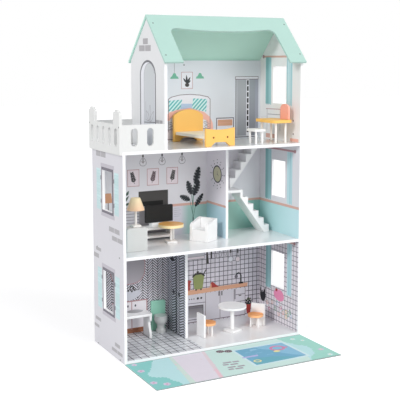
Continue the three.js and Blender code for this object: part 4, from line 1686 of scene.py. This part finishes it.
    def side_walls(self) -> None:
        """Prints curtains, rail and panelling, darkened towards the back by painted shade, on the
        inner faces of the side walls.
        """
        # Paler at the front and darker towards the back: painted shade on the panelling.
        shaded_aqua = Fade("print_side_wainscot_painted_shade", "C8E9EF", other="AEDADA", axis=Axis.Y, start=20.0,
                    end=215.0)
        for name, node, side in (("living_right_print", "right_side_wall", -1),
                                 ("living_left_print", "left_side_wall", 1)):
            wall = Print(name, Face.of(node, Axis.X, side))
            self.panelling(wall, WALL_FRONT, self.side_rail, shaded_aqua)
            self.drape.draw(wall)
            wall.press()


@dataclass
class BathPrint(Print):
    """What is printed in the bathroom."""

    name: str = "bathroom_back_print"
    face: Face = Face.of("lower_back_panel", Axis.Y, -1)
    mirror: Row = (111, 223, 57)
    squareness: float = 0.7
    faucet: Outline = ((118.5, 147), (118, 156), (122, 161), (128, 160), (130.5, 154), (130, 149))
    knobs: Points = ((110, 97), (135.5, 97))
    taps: Points = ((124, 144), (134, 147), (112, 147))
    shower_taps: Row = (151.5, 190)
    tray: Row = (122, 206, 26, 17)

    def build(self) -> None:
        """Prints the walls and the floor of the bathroom, and the washstand's tray."""
        floor, ceiling = Room.BATH.floor, SPAN.ceiling
        slips = Herringbone("print_herringbone", "EEEAF2", 0.45, joint="1B1A26", start=161.0,
                           column=17.45, slip=8.4, rise=16.0, line=0.4, seam=1.5)
        self.box(SPAN.left, floor, SPAN.bath[0], ceiling, slips)
        self.basin()
        self.press(slot="printed_back")
        blue = Herringbone("print_blue_herringbone", "E4E6F0", 0.45, joint="1A1C2C", across=Axis.Y,
                           start=120.0, column=27.0, slip=8.4, seam=1.5)
        side = Print("bathroom_partition_print", Face.of("bath_partition", Axis.X, -1))
        side.box(SPAN.partition, floor, SPAN.back, ceiling, blue)
        self.shower(side)
        side.press()
        left = Print("bathroom_left_print", Face.of("left_side_wall", Axis.X, 1))
        left.shape(box_outline(WALL_FRONT, floor, SPAN.back, ceiling), blue, 0,
                   [OPENING.hole(SILLS[0])])
        left.press()
        self.ground()
        tray = Print("washstand_print", Face.of("washstand_top", Axis.Z, 1))
        steel = Fade("print_tray", "8E8E92", 0.3, other="B9B9BD", axis=Axis.X, start=98.0,
                     end=146.0)
        tray.shape(oval(*self.tray, 32), steel)
        tray.press(body="washstand", slot="white_board")

    def ground(self) -> None:
        """Prints the floor's tiles, round the end of the partition."""
        tiles = Tiles("print_bath_floor", "E6E8EC", 0.14, joint="33344A", up=Axis.Y, wide=24.0,
                      high=22.8, line=2.3, start_across=222.8, start_up=17.0)
        sheet = Print("bathroom_floor_print", Face.of("base_board", Axis.Z, 1))
        sheet.shape([(SPAN.left, 1), (SPAN.bath[1], 1), (SPAN.bath[1], SPAN.partition),
                     (SPAN.bath[0], SPAN.partition), (SPAN.bath[0], SPAN.back),
                     (SPAN.left, SPAN.back)], tiles)
        sheet.press(slot="floor_board")

    def rounded(self, radius: float) -> list[Point]:
        """Gives the mirror's outline, between a circle and a square.

        Args:
            radius: half its width.

        Returns:
            The outline.
        """
        u, v, _ = self.mirror
        rim = []
        for i in range(56):
            cos, sin = math.cos(math.tau * i / 56), math.sin(math.tau * i / 56)
            rim.append((u + math.copysign(abs(cos) ** self.squareness, cos) * radius,
                        v + math.copysign(abs(sin) ** self.squareness, sin) * (radius - 3)))
        return rim

    def basin(self) -> None:
        """Prints the round mirror, the basin on its cabinet and the basket under it."""
        radius = self.mirror[2]
        glass = Fade("print_mirror", "BDB6BE", 0.25, other="8F8B90", start=170.0, end=275.0)
        self.shape(self.rounded(radius + 2.5), PINK_LINE, 1)
        self.shape(self.rounded(radius), glass, 2)
        self.box(58, 20, 174, 110, Ink("print_vanity", "F0EBF0"), 1)
        self.line([(56, 112), (175, 112), (175, 22)], 3.6, PINK_LINE, 2)
        self.line([(123, 110), (123, 20)], 2.6, PINK_LINE, 2)
        for u, v in self.knobs:
            self.shape(oval(u, v, 2.6, 3.8, 16), NAVY, 3)
        self.shape(oval(113, 147, 43, 32, 20, 180, 360), Ink("print_basin", "D4D4DD"), 2)
        self.line([(70, 146), (156, 146)], 1.6, GREY, 3)
        self.line(self.faucet, 3.6, BLACK, 3)
        for u, v in self.taps:
            self.shape(oval(u, v, 3, 3.5, 12), BLACK, 3)
        basket = Timber("print_basket", "B9784F", dark="6E4030")
        self.shape([(72, 4), (161, 4), (163, 25), (70, 25)], basket, 2)

    def shower(self, side: Print) -> None:
        """Prints the shower's pole, head and taps.

        Args:
            side: the partition's print.
        """
        side.box(168.2, Room.BATH.floor + 2, 174, SPAN.ceiling, JET, 1)
        side.shape(oval(198, 241, 18, 5, 24), JET, 2)
        side.box(195, 241, 201, SPAN.ceiling, JET, 2)
        for spot in self.shower_taps:
            side.shape(oval(spot, 138, 5, 7, 16), JET, 2)
            side.line([(spot - 8, 137), (spot + 10, 137)], 3, JET, 3)


@dataclass
class KitchenPrint(Print):
    """What is printed in the kitchen."""

    name: str = "kitchen_back_print"
    face: Face = Face.of("lower_back_panel", Axis.Y, -1)
    top: Point = (105.5, 121.5)
    doors: Row = (386, 440.5, 494, 537)
    handles: Row = (434, 445)
    drawers: Row = (85, 61, 37)
    oven_knobs: Points = ((327, 2), (335, 2), (343, 2), (357.5, 4.2), (370, 3.6))
    lid: Outline = ((336, 163), (339, 170), (348, 176), (366, 177), (378, 173), (384, 165),
                    (381, 162), (370, 170), (350, 170), (341, 163))
    tin: Outline = ((311, 121), (328, 121), (330, 145), (334.5, 151), (329, 154), (311, 156))
    cactus_leaves: Points = ((40, 20), (65, 25), (95, 27), (125, 24), (150, 17), (15, 13))
    cactus_dots: Points = ((543, 68), (553, 71), (557, 62), (548, 60), (544, 55), (555, 53))
    tap: Outline = ((520.5, 121), (520.5, 149), (517, 156), (511, 159), (505, 157), (502, 151))
    hooks: float = 262
    spoons: Points = ((423, 236), (432, 232), (441, 238), (450, 233), (460, 240), (469, 236))
    pans: tuple[tuple[float, float, float, Finish], ...] = ((480, 230, 11, PALE),
                                                            (507.5, 227, 10.5, PAPER))
    cloth: Outline = ((142, 104), (134, 116), (120, 121), (98, 121), (84, 113), (79, 100),
                      (86, 89), (102, 83), (122, 85), (136, 92))
    fruit: tuple[tuple[float, float, Finish], ...] = (
        (132, 52, LEAF_GREEN), (98, 63, PINK), (66, 58, GOLD), (66, 42, GOLD), (38, 50, SKY),
        (150, 70, RAIL_INK), (110, 40, CORAL_INK), (180, 62, CORAL_INK), (44, 62, LAMP_GREEN),
        (168, 44, PINK), (84, 50, CORAL_INK), (56, 50, LAMP_GREEN), (120, 74, SKY),
    )
    plant_leaves: Points = ((70, 52), (90, 42), (107, 58), (58, 34), (122, 38))
    drape: SideWindowDrape = SideWindowDrape((160, 191), (37, 64), 114, 284, 290)
    side_tiles: Finish = Tiles("print_kitchen_side_tiles", "EAE5EB", 0.4, joint="575064",
                               across=Axis.Y, wide=16.0, high=15.65, start_across=235.0,
                               start_up=140.3, line=1.6)

    def build(self) -> None:
        """Prints the walls of the kitchen."""
        floor, ceiling = Room.BATH.floor, SPAN.ceiling
        tiles = Tiles("print_kitchen_tiles", "DCD8E1", 0.4, joint="35323F", line=1.9,
                      high=15.65, start_across=389.2, start_up=140.3)
        self.box(SPAN.bath[1], floor, SPAN.right, ceiling, tiles)
        for part in (self.units, self.oven, self.hood, self.pots, self.potted_cactus, self.tools):
            part()
        self.press(slot="printed_back")
        self.right_wall()
        side = Print("kitchen_partition_print", Face.of("bath_partition", Axis.X, 1))
        side.box(SPAN.partition, floor, SPAN.back, ceiling, self.side_tiles)
        side.press()

    def units(self) -> None:
        """Prints the cupboards, the drawers and the worktop."""
        board = Ink("print_units", "D3D1D9", 0.35, mottle=0.02)
        low, high = self.top
        left = SPAN.bath[1]
        last = self.doors[-1]
        self.box(left, 14, last, low, board, 1)
        self.shape([(left, low - 1), (545, low + 4), (547, high + 1), (left, high)], WORKTOP, 2)
        for u in self.doors:
            self.line([(u, low), (u, 13)], 1.8, OUTLINE, 2)
        self.line([(left, 13), (last, 13)], 2.6, OUTLINE, 2)
        for u in self.handles:
            self.box(u + 0.6, 90, u + 4.4, 105, BLACK, 3)
        self.box(494.5, 70, 500.5, 105, GREY, 2)
        for v in self.drawers:
            self.line([(500, v), (last, v)], 2, FRAME_DARK, 2)
            self.line([(512, v - 4), (522, v - 4)], 3, BLACK, 3)

    def oven(self) -> None:
        """Prints the oven with its knobs, its dark door and its drawer."""
        glass = Fade("print_oven_glass", "B4B2B8", 0.3, other="6E6A6E", start=24.0, end=66.0)
        self.line([(SPAN.bath[1] + 62, 77), (386, 75)], 2, FRAME_DARK, 2)
        self.box(323, 28, 377, 68, glass, 2)
        self.line([(323, 68), (377, 67), (377, 28)], 1.8, BLACK, 3)
        self.line([(323, 61), (375, 59)], 2.6, FRAME_DARK, 3)
        self.line([(322, 22), (384, 21)], 2.4, FRAME_DARK, 2)
        for u, size in self.oven_knobs:
            self.shape(oval(u, 91, size, size, 14), BLACK, 3)

    def hood(self) -> None:
        """Prints the hood over the oven."""
        self.box(300, 222, 382, 244, Ink("print_hood", "C2C2C9"), 1)
        self.box(300, 223.5, 382, 230, PAPER, 2)
        self.line([(300, 222), (382, 222), (382, 244)], 2, GREY, 3)
        self.line([(300, 231), (382, 231)], 1.8, GREY, 3)

    def pots(self) -> None:
        """Prints the green pot with its lid, the red tin and the bowl."""
        self.shape([(344, 125), (350, 121), (371, 121), (375.5, 125), (381, 164), (340, 164)],
                    OLIVE, 3)
        self.shape(self.lid, BLACK, 4)
        self.shape([(341, 163), (350, 170), (370, 170), (381, 163)], OLIVE, 3)
        self.line([(379, 170), (383, 177), (389, 185)], 3.8, BLACK, 4)
        self.shape(oval(357, 179, 4.5, 3.5, 14), BLACK, 4)
        for u in (351, 369):
            self.box(u - 2.5, 117.5, u + 2.5, 123, BLACK, 4)
        self.shape(self.tin, RED, 3)
        self.line([(329, 122), (333, 140)], 2.6, PINK_LINE, 2)
        self.shape([(402, 120), (437, 121), (425, 129), (414, 139), (406, 138)], RED, 3)
        self.shape([(400, 120), (409, 120), (408, 136), (404, 130)], RUST, 4)

    def potted_cactus(self) -> None:
        """Prints the spiky plant in its pot by the units."""
        self.shape([(544, 15), (557, 15), (560.5, 48), (540, 48)], RED, 3)
        self.shape(oval(550, 57, 9.5, 12, 16), CACTUS, 3)
        for turn, size in self.cactus_leaves:
            self.shape(leaf(550, 47, size, 6, turn), LEAF_DARK, 4)
        for u, v in self.cactus_dots:
            self.shape(oval(u, v, 1.8, 1.6, 10), PAPER, 5)

    def tools(self) -> None:
        """Prints the tap and the tools that hang in a row."""
        self.line(self.tap, 4.4, JET, 3)
        self.shape(oval(502, 147.5, 6.5, 6.2, 16), FRAME_DARK, 3)
        self.box(512, 121, 529, 127, JET, 3)
        self.line([(392.5, self.hooks), (392.5, 230)], 4.6, BLACK, 3)
        self.shape([(388, 203.5), (398.5, 203.5), (395.5, 232), (389.5, 232)], BLACK, 3)
        self.line([(408, self.hooks), (408, 218)], 4.6, BLACK, 3)
        for u, drop in self.spoons:
            self.line([(u, self.hooks), (u, drop)], 1.5, GREY, 3)
            self.line(oval(u, drop - 8, 4.2, 8.5, 12), 1.3, GREY, 3, closed=True)
        for u, drop, size, inner in self.pans:
            self.line([(u, self.hooks), (u, drop)], 5.2, BLACK, 3)
            self.line([(u, drop), (u, drop - 10)], 2.6, GREY, 3)
            middle = drop - 10 - size
            self.shape(oval(u, middle, size, size, 22), GREY, 4)
            self.shape(oval(u, middle, size - 2.6, size - 2.6, 22), inner, 5)

    def right_wall(self) -> None:
        """Prints the right wall: tiles, curtains, a hanging cloth, fruit and a dark plant."""
        wall = Print("kitchen_right_print", Face.of("right_side_wall", Axis.X, -1))
        wall.shape(box_outline(WALL_FRONT, Room.BATH.floor, SPAN.back, SPAN.ceiling),
                   self.side_tiles, 0, [OPENING.hole(SILLS[0])])
        self.drape.draw(wall)
        wall.shape(self.cloth, PINK, 1)
        wall.shape([(131, 122), (117, 122), (121, 112), (130, 113)], RED, 2)
        for u, v, ink in self.fruit:
            wall.line(oval(u, v, 5, 6, 12), 2, ink, 1, closed=True)
            wall.shape(leaf(u, v + 4, 7, 3, 60), LEAF_GREEN, 2)
        for turn, size in self.plant_leaves:
            wall.shape(leaf(209, 58, size, 12.5, turn), JET, 1)
        wall.press()


# ---------- the boards and the furniture


@dataclass(frozen=True)
class Dressed:
    """A sub-assembly of boards and turnings: what each of them is painted with."""

    name: str
    finishes: tuple[tuple[Finish, tuple[str, ...]], ...]
    ease: float = 0.6

    def build(self) -> None:
        """Dresses each CAD node with its finish and softened edges."""
        for finish, nodes in self.finishes:
            for node in nodes:
                eased(node, finish, self.ease)
        LOG.info("%s is dressed", self.name)


SHELL = Dressed("shell", (
    (FLOOR, ("base_board", "middle_floor", "top_floor")),
    (WALL, ("left_side_wall",)),
    (RIGHT_WALL, ("right_side_wall",)),
    (LEFT_GABLE, ("left_gable_wall",)),
    (RIGHT_GABLE, ("right_gable_wall",)),
    (BACK, ("lower_back_panel", "middle_back_panel")),
    (UPPER_BACK, ("upper_back_panel",)),
    (PARTITION, ("bath_partition", "living_partition")),
    (MINT, ("front_roof_panel",)),
    (MINT_PAINTED_LIGHT, ("back_roof_panel",)),
    (RAIL_WHITE, ("balcony_side_rail", "balcony_front_rail", "balcony_back_rail")),
    (WHITE, ("stair_landing", "stair_lower_flight", "stair_upper_flight")),
), 0.5)
RIM, CROWN = HOUSE.ends("lamp_shade", Axis.Z)
SHADE = Fade("lamp_shade_paint", "F5CBA6", other="F8E6BC", start=RIM, end=CROWN)
FURNITURE = (
    Dressed("bed", ((YELLOW, ("bed_headboard", "bed_footboard")), (CREAM, ("bed_base",)))),
    Dressed("desk", ((YELLOW, ("desk_top",)), (CORAL, ("desk_mirror",)),
                     (WARM_WHITE, ("desk_leg_1", "desk_leg_2", "desk_leg_3", "desk_leg_4")))),
    Dressed("stool", ((WHITE, ("stool",)),)),
    Dressed("cabinet", ((CABINET_WHITE, ("cabinet",)),)),
    Dressed("lamp", ((WARM_WHITE, ("lamp_stand",)), (SHADE, ("lamp_shade",)))),
    Dressed("tv_stand", ((WHITE, ("tv_stand_top", "tv_stand_shelf", "tv_stand_left_side",
                                  "tv_stand_right_side")),)),
    Dressed("tv", ((WHITE, ("tv_foot",)), (SCREEN, ("tv_screen",)))),
    Dressed("coffee_table", ((TABLE_TOP, ("coffee_table_top",)),
                             (WHITE, ("coffee_table_post", "coffee_table_base")))),
    Dressed("armchair", ((WHITE, ("armchair_left_arm", "armchair_right_arm", "armchair_back",
                                  "armchair_seat")),)),
    Dressed("washstand", ((WHITE, ("washstand_top", "washstand_left_side",
                                   "washstand_right_side")),)),
    Dressed("toilet", ((CERAMIC, ("toilet_bowl",)), (BOARD_GREEN, ("toilet_board",))), 0.5),
    Dressed("kitchen_table", ((WHITE, ("kitchen_table_top", "kitchen_table_post",
                                       "kitchen_table_base")),)),
    Dressed("chairs", ((SEAT, ("left_chair_seat", "right_chair_seat")),
                       (WHITE, ("left_chair_back", "right_chair_back")))),
)


@dataclass
class GardenMat(Print):
    """The felt mat in front of the house, with its printed garden."""

    cloth: ClassVar[float] = 1.25

    name: str = "garden_mat_print"
    face: Face = Face(Axis.Z, cloth, 1)
    ease: float = 0.3
    sharp: float = 1.2
    cells: tuple[int, int] = (60, 22)
    body: str = "mat"
    edge: float = 1.2
    lobe: float = 4.5
    path_start: float = 101.0
    shrub_rim: Outline = (
        (72, -22), (64, -38), (60, -48), (50, -62), (43, -77), (30, -90), (23, -103), (22, -116),
        (27, -126), (38, -136), (48, -141), (58, -144), (62, -152), (65, -165), (66, -178),
        (74, -188), (78, -198),
    )
    hedge_rim: Outline = (
        (516, -24), (519, -44), (523, -54), (531, -64), (534, -80), (547, -90), (558, -104),
        (555, -120), (557, -134), (548, -148), (546, -162), (538, -176), (524, -184), (510, -196),
        (504, -206),
    )
    dots: Rows = ((131, -66, 4), (119, -102, 3), (226, -118, 4.5), (206, -160, 4),
                  (122, -150, 3), (216, -60, 3))
    stones: Points = ((296, -27.5), (319, -36.5))
    slats: Rows = ((268, -120, 26), (294, -124, 20), (256, -134, 18), (280, -140, 24),
                   (262, -158, 24), (290, -162, 22), (252, -172, 16), (276, -176, 24))
    pool_edge: Outline = ((330, -35), (513, -34), (515, -182), (324, -184))
    pool: Outline = ((337, -42), (503, -43), (507, -173), (333, -177))
    shallows: Outline = ((334, -160), (352, -128), (410, -134), (452, -156), (470, -174.5),
                         (333, -177))
    sunlit: Outline = ((503, -43), (507, -173), (476, -150), (452, -120), (446, -88), (420, -70),
                       (404, -43))
    waves: Points = ((372, -74), (420, -62), (484, -128), (420, -118), (398, -92))
    flowers: Rows = (
        (23, -15.5, 0, 1), (20.5, -70, 30, 1.25), (15, -167, 10, 1.25), (43.5, -191, 50, 1.25),
        (552, -31, 20, 1), (573, -55, 40, 0.8), (575, -150, 5, 1.1), (573, -199, 60, 1),
    )

    def __post_init__(self) -> None:
        """Reads the mat's bounds in the house's own millimetres."""
        self.left, self.right = HOUSE.ends("garden_mat", Axis.X)
        self.front, self.back = HOUSE.ends("garden_mat", Axis.Y)

    def build(self) -> None:
        piece = self.felt()
        picture = self.picture()
        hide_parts("garden_mat")

    def felt(self) -> Piece:
        """Makes the sheet as a fine grid with a rounded rim and dark sides of painted shade.

        Returns:
            The sheet.
        """
        columns, rows = self.cells
        mesh = bpy.data.meshes.new("garden_mat_felt")
        shell = bmesh.new()
        grid = []
        for j in range(rows + 1):
            y = self.front + (self.back - self.front) * j / rows
            for i in range(columns + 1):
                x = self.left + (self.right - self.left) * i / columns
                grid.append(shell.verts.new(HOUSE.at(x, y, 0)))
        for j in range(rows):
            for i in range(columns):
                k = j * (columns + 1) + i
                corners = (k, k + columns + 1, k + columns + 2, k + 1)
                shell.faces.new([grid[corner] for corner in corners])
        raised = bmesh.ops.extrude_face_region(shell, geom=list(shell.faces))
        top = [item for item in raised["geom"] if isinstance(item, bmesh.types.BMVert)]
        bmesh.ops.translate(shell, verts=top, vec=Vector((0, 0, self.cloth * MM)))
        rim = [edge for edge in shell.edges
               if len(edge.link_faces) == 2 and edge.calc_face_angle(0) > self.sharp
               and all(vert.co.z > self.cloth * MM / 2 for vert in edge.verts)]
        bmesh.ops.bevel(shell, geom=rim, offset=self.ease * MM, segments=2, affect="EDGES")
        bmesh.ops.recalc_face_normals(shell, faces=shell.faces)
        shell.to_mesh(mesh)
        shell.free()
        # The dark grey sides are painted shade along the mat's rim.
        mesh.materials.append(Felt("mat_mint_felt", "CFEBE5", edge="54595B").material())
        return settle(placed("garden_mat_felt", mesh), self.body)

    @staticmethod
    def lobed(rim: Outline, depth: float) -> list[Point]:
        """Gives a shrub's rim with every stretch bulging to the left of its run.

        Args:
            rim: the points of the rim, in millimetres.
            depth: how far a stretch bulges, negative for the right of its run.

        Returns:
            The rim with four points to a stretch.
        """
        points = []
        for (u0, v0), (u1, v1) in zip(rim, rim[1:]):
            length = math.hypot(u1 - u0, v1 - v0)
            for step in range(4):
                part = step / 4
                bulge = depth * math.sin(math.pi * part) / length
                points.append((u0 + (u1 - u0) * part - bulge * (v1 - v0),
                               v0 + (v1 - v0) * part + bulge * (u1 - u0)))
        return [*points, rim[-1]]

    def picture(self) -> Piece:
        """Prints the garden on the felt.

        Returns:
            The finished print.
        """
        for part in (self.lawns, self.shrubs, self.stepping, self.water, self.flowerets):
            part()
        return self.press(self.body, "printed_mat")

    def lawns(self) -> None:
        """Prints the left lawn, the path across the mat and painted shadow lines along its back
        and front edges.
        """
        left, near, far = self.left + self.edge, self.front + self.edge, self.back - self.edge
        self.shape([(left, near), (self.path_start, near), (137, far), (left, far)], LAWN)
        for start, end, start_far, end_far, cloth in (
            (self.path_start, 118, 137, 148, STRAW), (118, 190, 148, 246, PATH),
            (190, 204, 246, 256, ROSE),
        ):
            self.shape([(start, near), (end, near), (end_far, far), (start_far, far)], cloth)
        self.shape([(192, near), (201, near), (217, -150), (209, -150)], BLOSSOM, 1)
        # Painted shadow lines: the gap between the mat and the base at the back, and the mat's
        # front rim.
        for level, width, start in ((far - 1.3, 2.6, left), (near + 0.9, 1.8, 72)):
            self.line([(start, level), (self.right - self.edge, level)], width, EDGE_SHADOW, 3)

    def shrubs(self) -> None:
        """Prints the shrubs at both ends, the right lawn and the dots on the path."""
        left, right = self.left + self.edge, self.right - self.edge
        near, far = self.front + self.edge, self.back - self.edge
        rim = self.lobed([(85, far), *self.shrub_rim, (76, near)], self.lobe)
        self.shape([(left, far), *rim, (left, near)], SHRUB, 1)
        grass = [(494, near), (503, -190), (515, -42), (512, far), (right, far), (right, near)]
        self.shape(grass, LAWN)
        rim = self.lobed([(512, far), *self.hedge_rim, (501, near)], -self.lobe)
        self.shape([(right, far), *rim, (right, near)], HEDGE, 1)
        for u, v, size in self.dots:
            self.shape(oval(u, v, size, size, 14), ROSE, 1)

    def stepping(self) -> None:
        """Prints two round stones and the slats that lead to the pool."""
        for u, v in self.stones:
            self.shape(oval(u, v, 12.5, 11, 24), MAT_PLUM, 1)
            for shift in (-6, 0, 6):
                self.line([(u + shift - 3, v - 7), (u + shift + 3, v + 7)], 1.6, SLATE, 2)
        for u, v, wide in self.slats:
            half = wide / 2
            self.shape([(u - half, v - 4), (u + half, v - 5.5), (u + half, v + 3.5),
                        (u - half, v + 5)], SLATE, 1)

    def water(self) -> None:
        """Prints the pool with its shallows, its waves and what floats in it."""
        for rim, cloth, layer in ((self.pool_edge, MAT_PALE, 1), (self.pool, WATER, 2),
                                  (self.shallows, SHALLOW, 2), (self.sunlit, BRIGHT, 2)):
            self.shape(rim, cloth, layer)
        for u, v in self.waves:
            self.line([(u - 16, v), (u - 8, v + 2.6), (u, v), (u + 8, v + 2.6)], 1.8, WAVE, 3)
        self.line(oval(464, -80, 21, 17, 24), 8.5, MAT_PINK, 3, closed=True)
        self.shape(oval(492, -84, 6, 5, 16), MAT_PINK, 3)
        self.shape(oval(448, -103, 11, 7, 20), MAT_YELLOW, 3)
        self.shape([(327, -103), (381, -102), (377, -114), (327, -111.5)], LILAC, 3)
        self.shape([(380, -55), (402, -55), (402, -66), (380, -66)], WAVE, 3)
        self.line(oval(353, -149, 10, 8.5, 22), 4.6, MAT_YELLOW, 3, closed=True)

    def flowerets(self) -> None:
        """Prints flowers of five petals: blush and pink on the left, pale and yellow elsewhere."""
        for u, v, turn, size in self.flowers:
            on_left = u < self.path_start
            petals = BLUSH if on_left or size > 1.05 else MAT_PALE
            for petal in range(5):
                angle = math.radians(turn + petal * 72)
                u1, v1 = u + 5 * size * math.cos(angle), v + 5 * size * math.sin(angle)
                self.shape(oval(u1, v1, 3.9 * size, 3.9 * size, 12), petals, 2)
            middle = MAT_PINK if on_left else MAT_YELLOW
            self.shape(oval(u, v, 2.6 * size, 2.6 * size, 12), middle, 3)


# ---------- the studio


@dataclass
class Studio:
    """The pale floor, the soft light and the camera."""

    reach: float = 14.0
    floor_colour: str = "F4F4F5"
    floor_lift: float = 0.32
    world: float = 0.53
    suns: tuple[tuple[str, float, float, Row], ...] = (
        ("studio_key", 1.22, 12.0, (-0.85, -0.5, 0.5)),
        ("studio_fill", 1.4, 40.0, (0.38, -0.81, 0.48)),
    )
    lens: float = 77.886
    sensor: float = 36.0
    clip_end: float = 60.0
    spot: Row = (-914.9071, -2217.3191, 862.9865)
    pitch: float = 0.1139
    yaw: float = 0.4812
    shift: float = -0.1

    def build(self) -> None:
        """Sets up all of it."""
        self.floor()
        self.light()
        self.surround()
        self.camera()
        bpy.context.scene.view_settings.view_transform = "Standard"

    def floor(self) -> None:
        """Makes a wide floor that shows white where nothing shades it."""
        mesh = bpy.data.meshes.new("studio_floor")
        r = self.reach
        mesh.from_pydata([(-r, -r, 0), (r, -r, 0), (r, r, 0), (-r, r, 0)], [], [(0, 1, 2, 3)])
        graph = Graph("studio_floor_paint", 0.9)
        colour = graph.uneven(graph.noise(3.0), self.floor_colour, 0.99, 1.0)
        graph.shader.inputs["Emission Color"].default_value = (1, 1, 1, 1)
        graph.feed(graph.shader.inputs["Emission Strength"],
                   graph.math("MULTIPLY", graph.seen(), self.floor_lift))
        graph.close(colour, graph.noise(900.0), 0.02, 0.1)
        mesh.materials.append(graph.material)
        placed("studio_floor", mesh)

    def light(self) -> None:
        """Makes two soft suns."""
        for name, energy, angle, way in self.suns:
            sun = bpy.data.lights.new(name, "SUN")
            sun.energy = energy
            sun.angle = math.radians(angle)
            placed(name, sun).rotation_euler = Vector(way).to_track_quat("Z", "Y").to_euler()

    def surround(self) -> None:
        """Makes a world that is white wherever it is looked at, and lights more softly."""
        world = bpy.data.worlds.new("studio_world")
        bpy.context.scene.world = world
        world.use_nodes = True
        nodes = Nodes(world.node_tree)
        level = nodes.add("ShaderNodeMapRange")
        nodes.feed(level.inputs["Value"], nodes.seen())
        nodes.feed(level.inputs["To Min"], self.world)
        glow = nodes.add("ShaderNodeBackground")
        nodes.feed(glow.inputs["Color"], (1, 1, 1, 1))
        nodes.feed(glow.inputs["Strength"], level.outputs[0])
        nodes.feed(nodes.add("ShaderNodeOutputWorld").inputs[0], glow.outputs[0])

    def camera(self) -> None:
        """Places the camera."""
        data = bpy.data.cameras.new("studio_camera")
        data.lens = self.lens
        data.sensor_width = self.sensor
        data.clip_end = self.clip_end
        data.shift_y = self.shift
        camera = placed("studio_camera", data)
        camera.location = HOUSE.at(*self.spot)
        camera.rotation_euler = (math.pi / 2 - self.pitch, 0.0, -self.yaw)
        bpy.context.scene.camera = camera


def main() -> None:
    """Builds the studio, the house, its prints, its furniture and the mat, in that order."""
    logging.basicConfig(level=logging.INFO, format="%(name)s: %(message)s")
    for part in (Studio(), SHELL, Fasteners(), Brickwork(), OuterWindows(), GableDoor(),
                 BedroomPrint(), LivingPrint(), BathPrint(), KitchenPrint(), *FURNITURE,
                 GardenMat()):
        part.build()


if __name__ == "__main__":
    main()
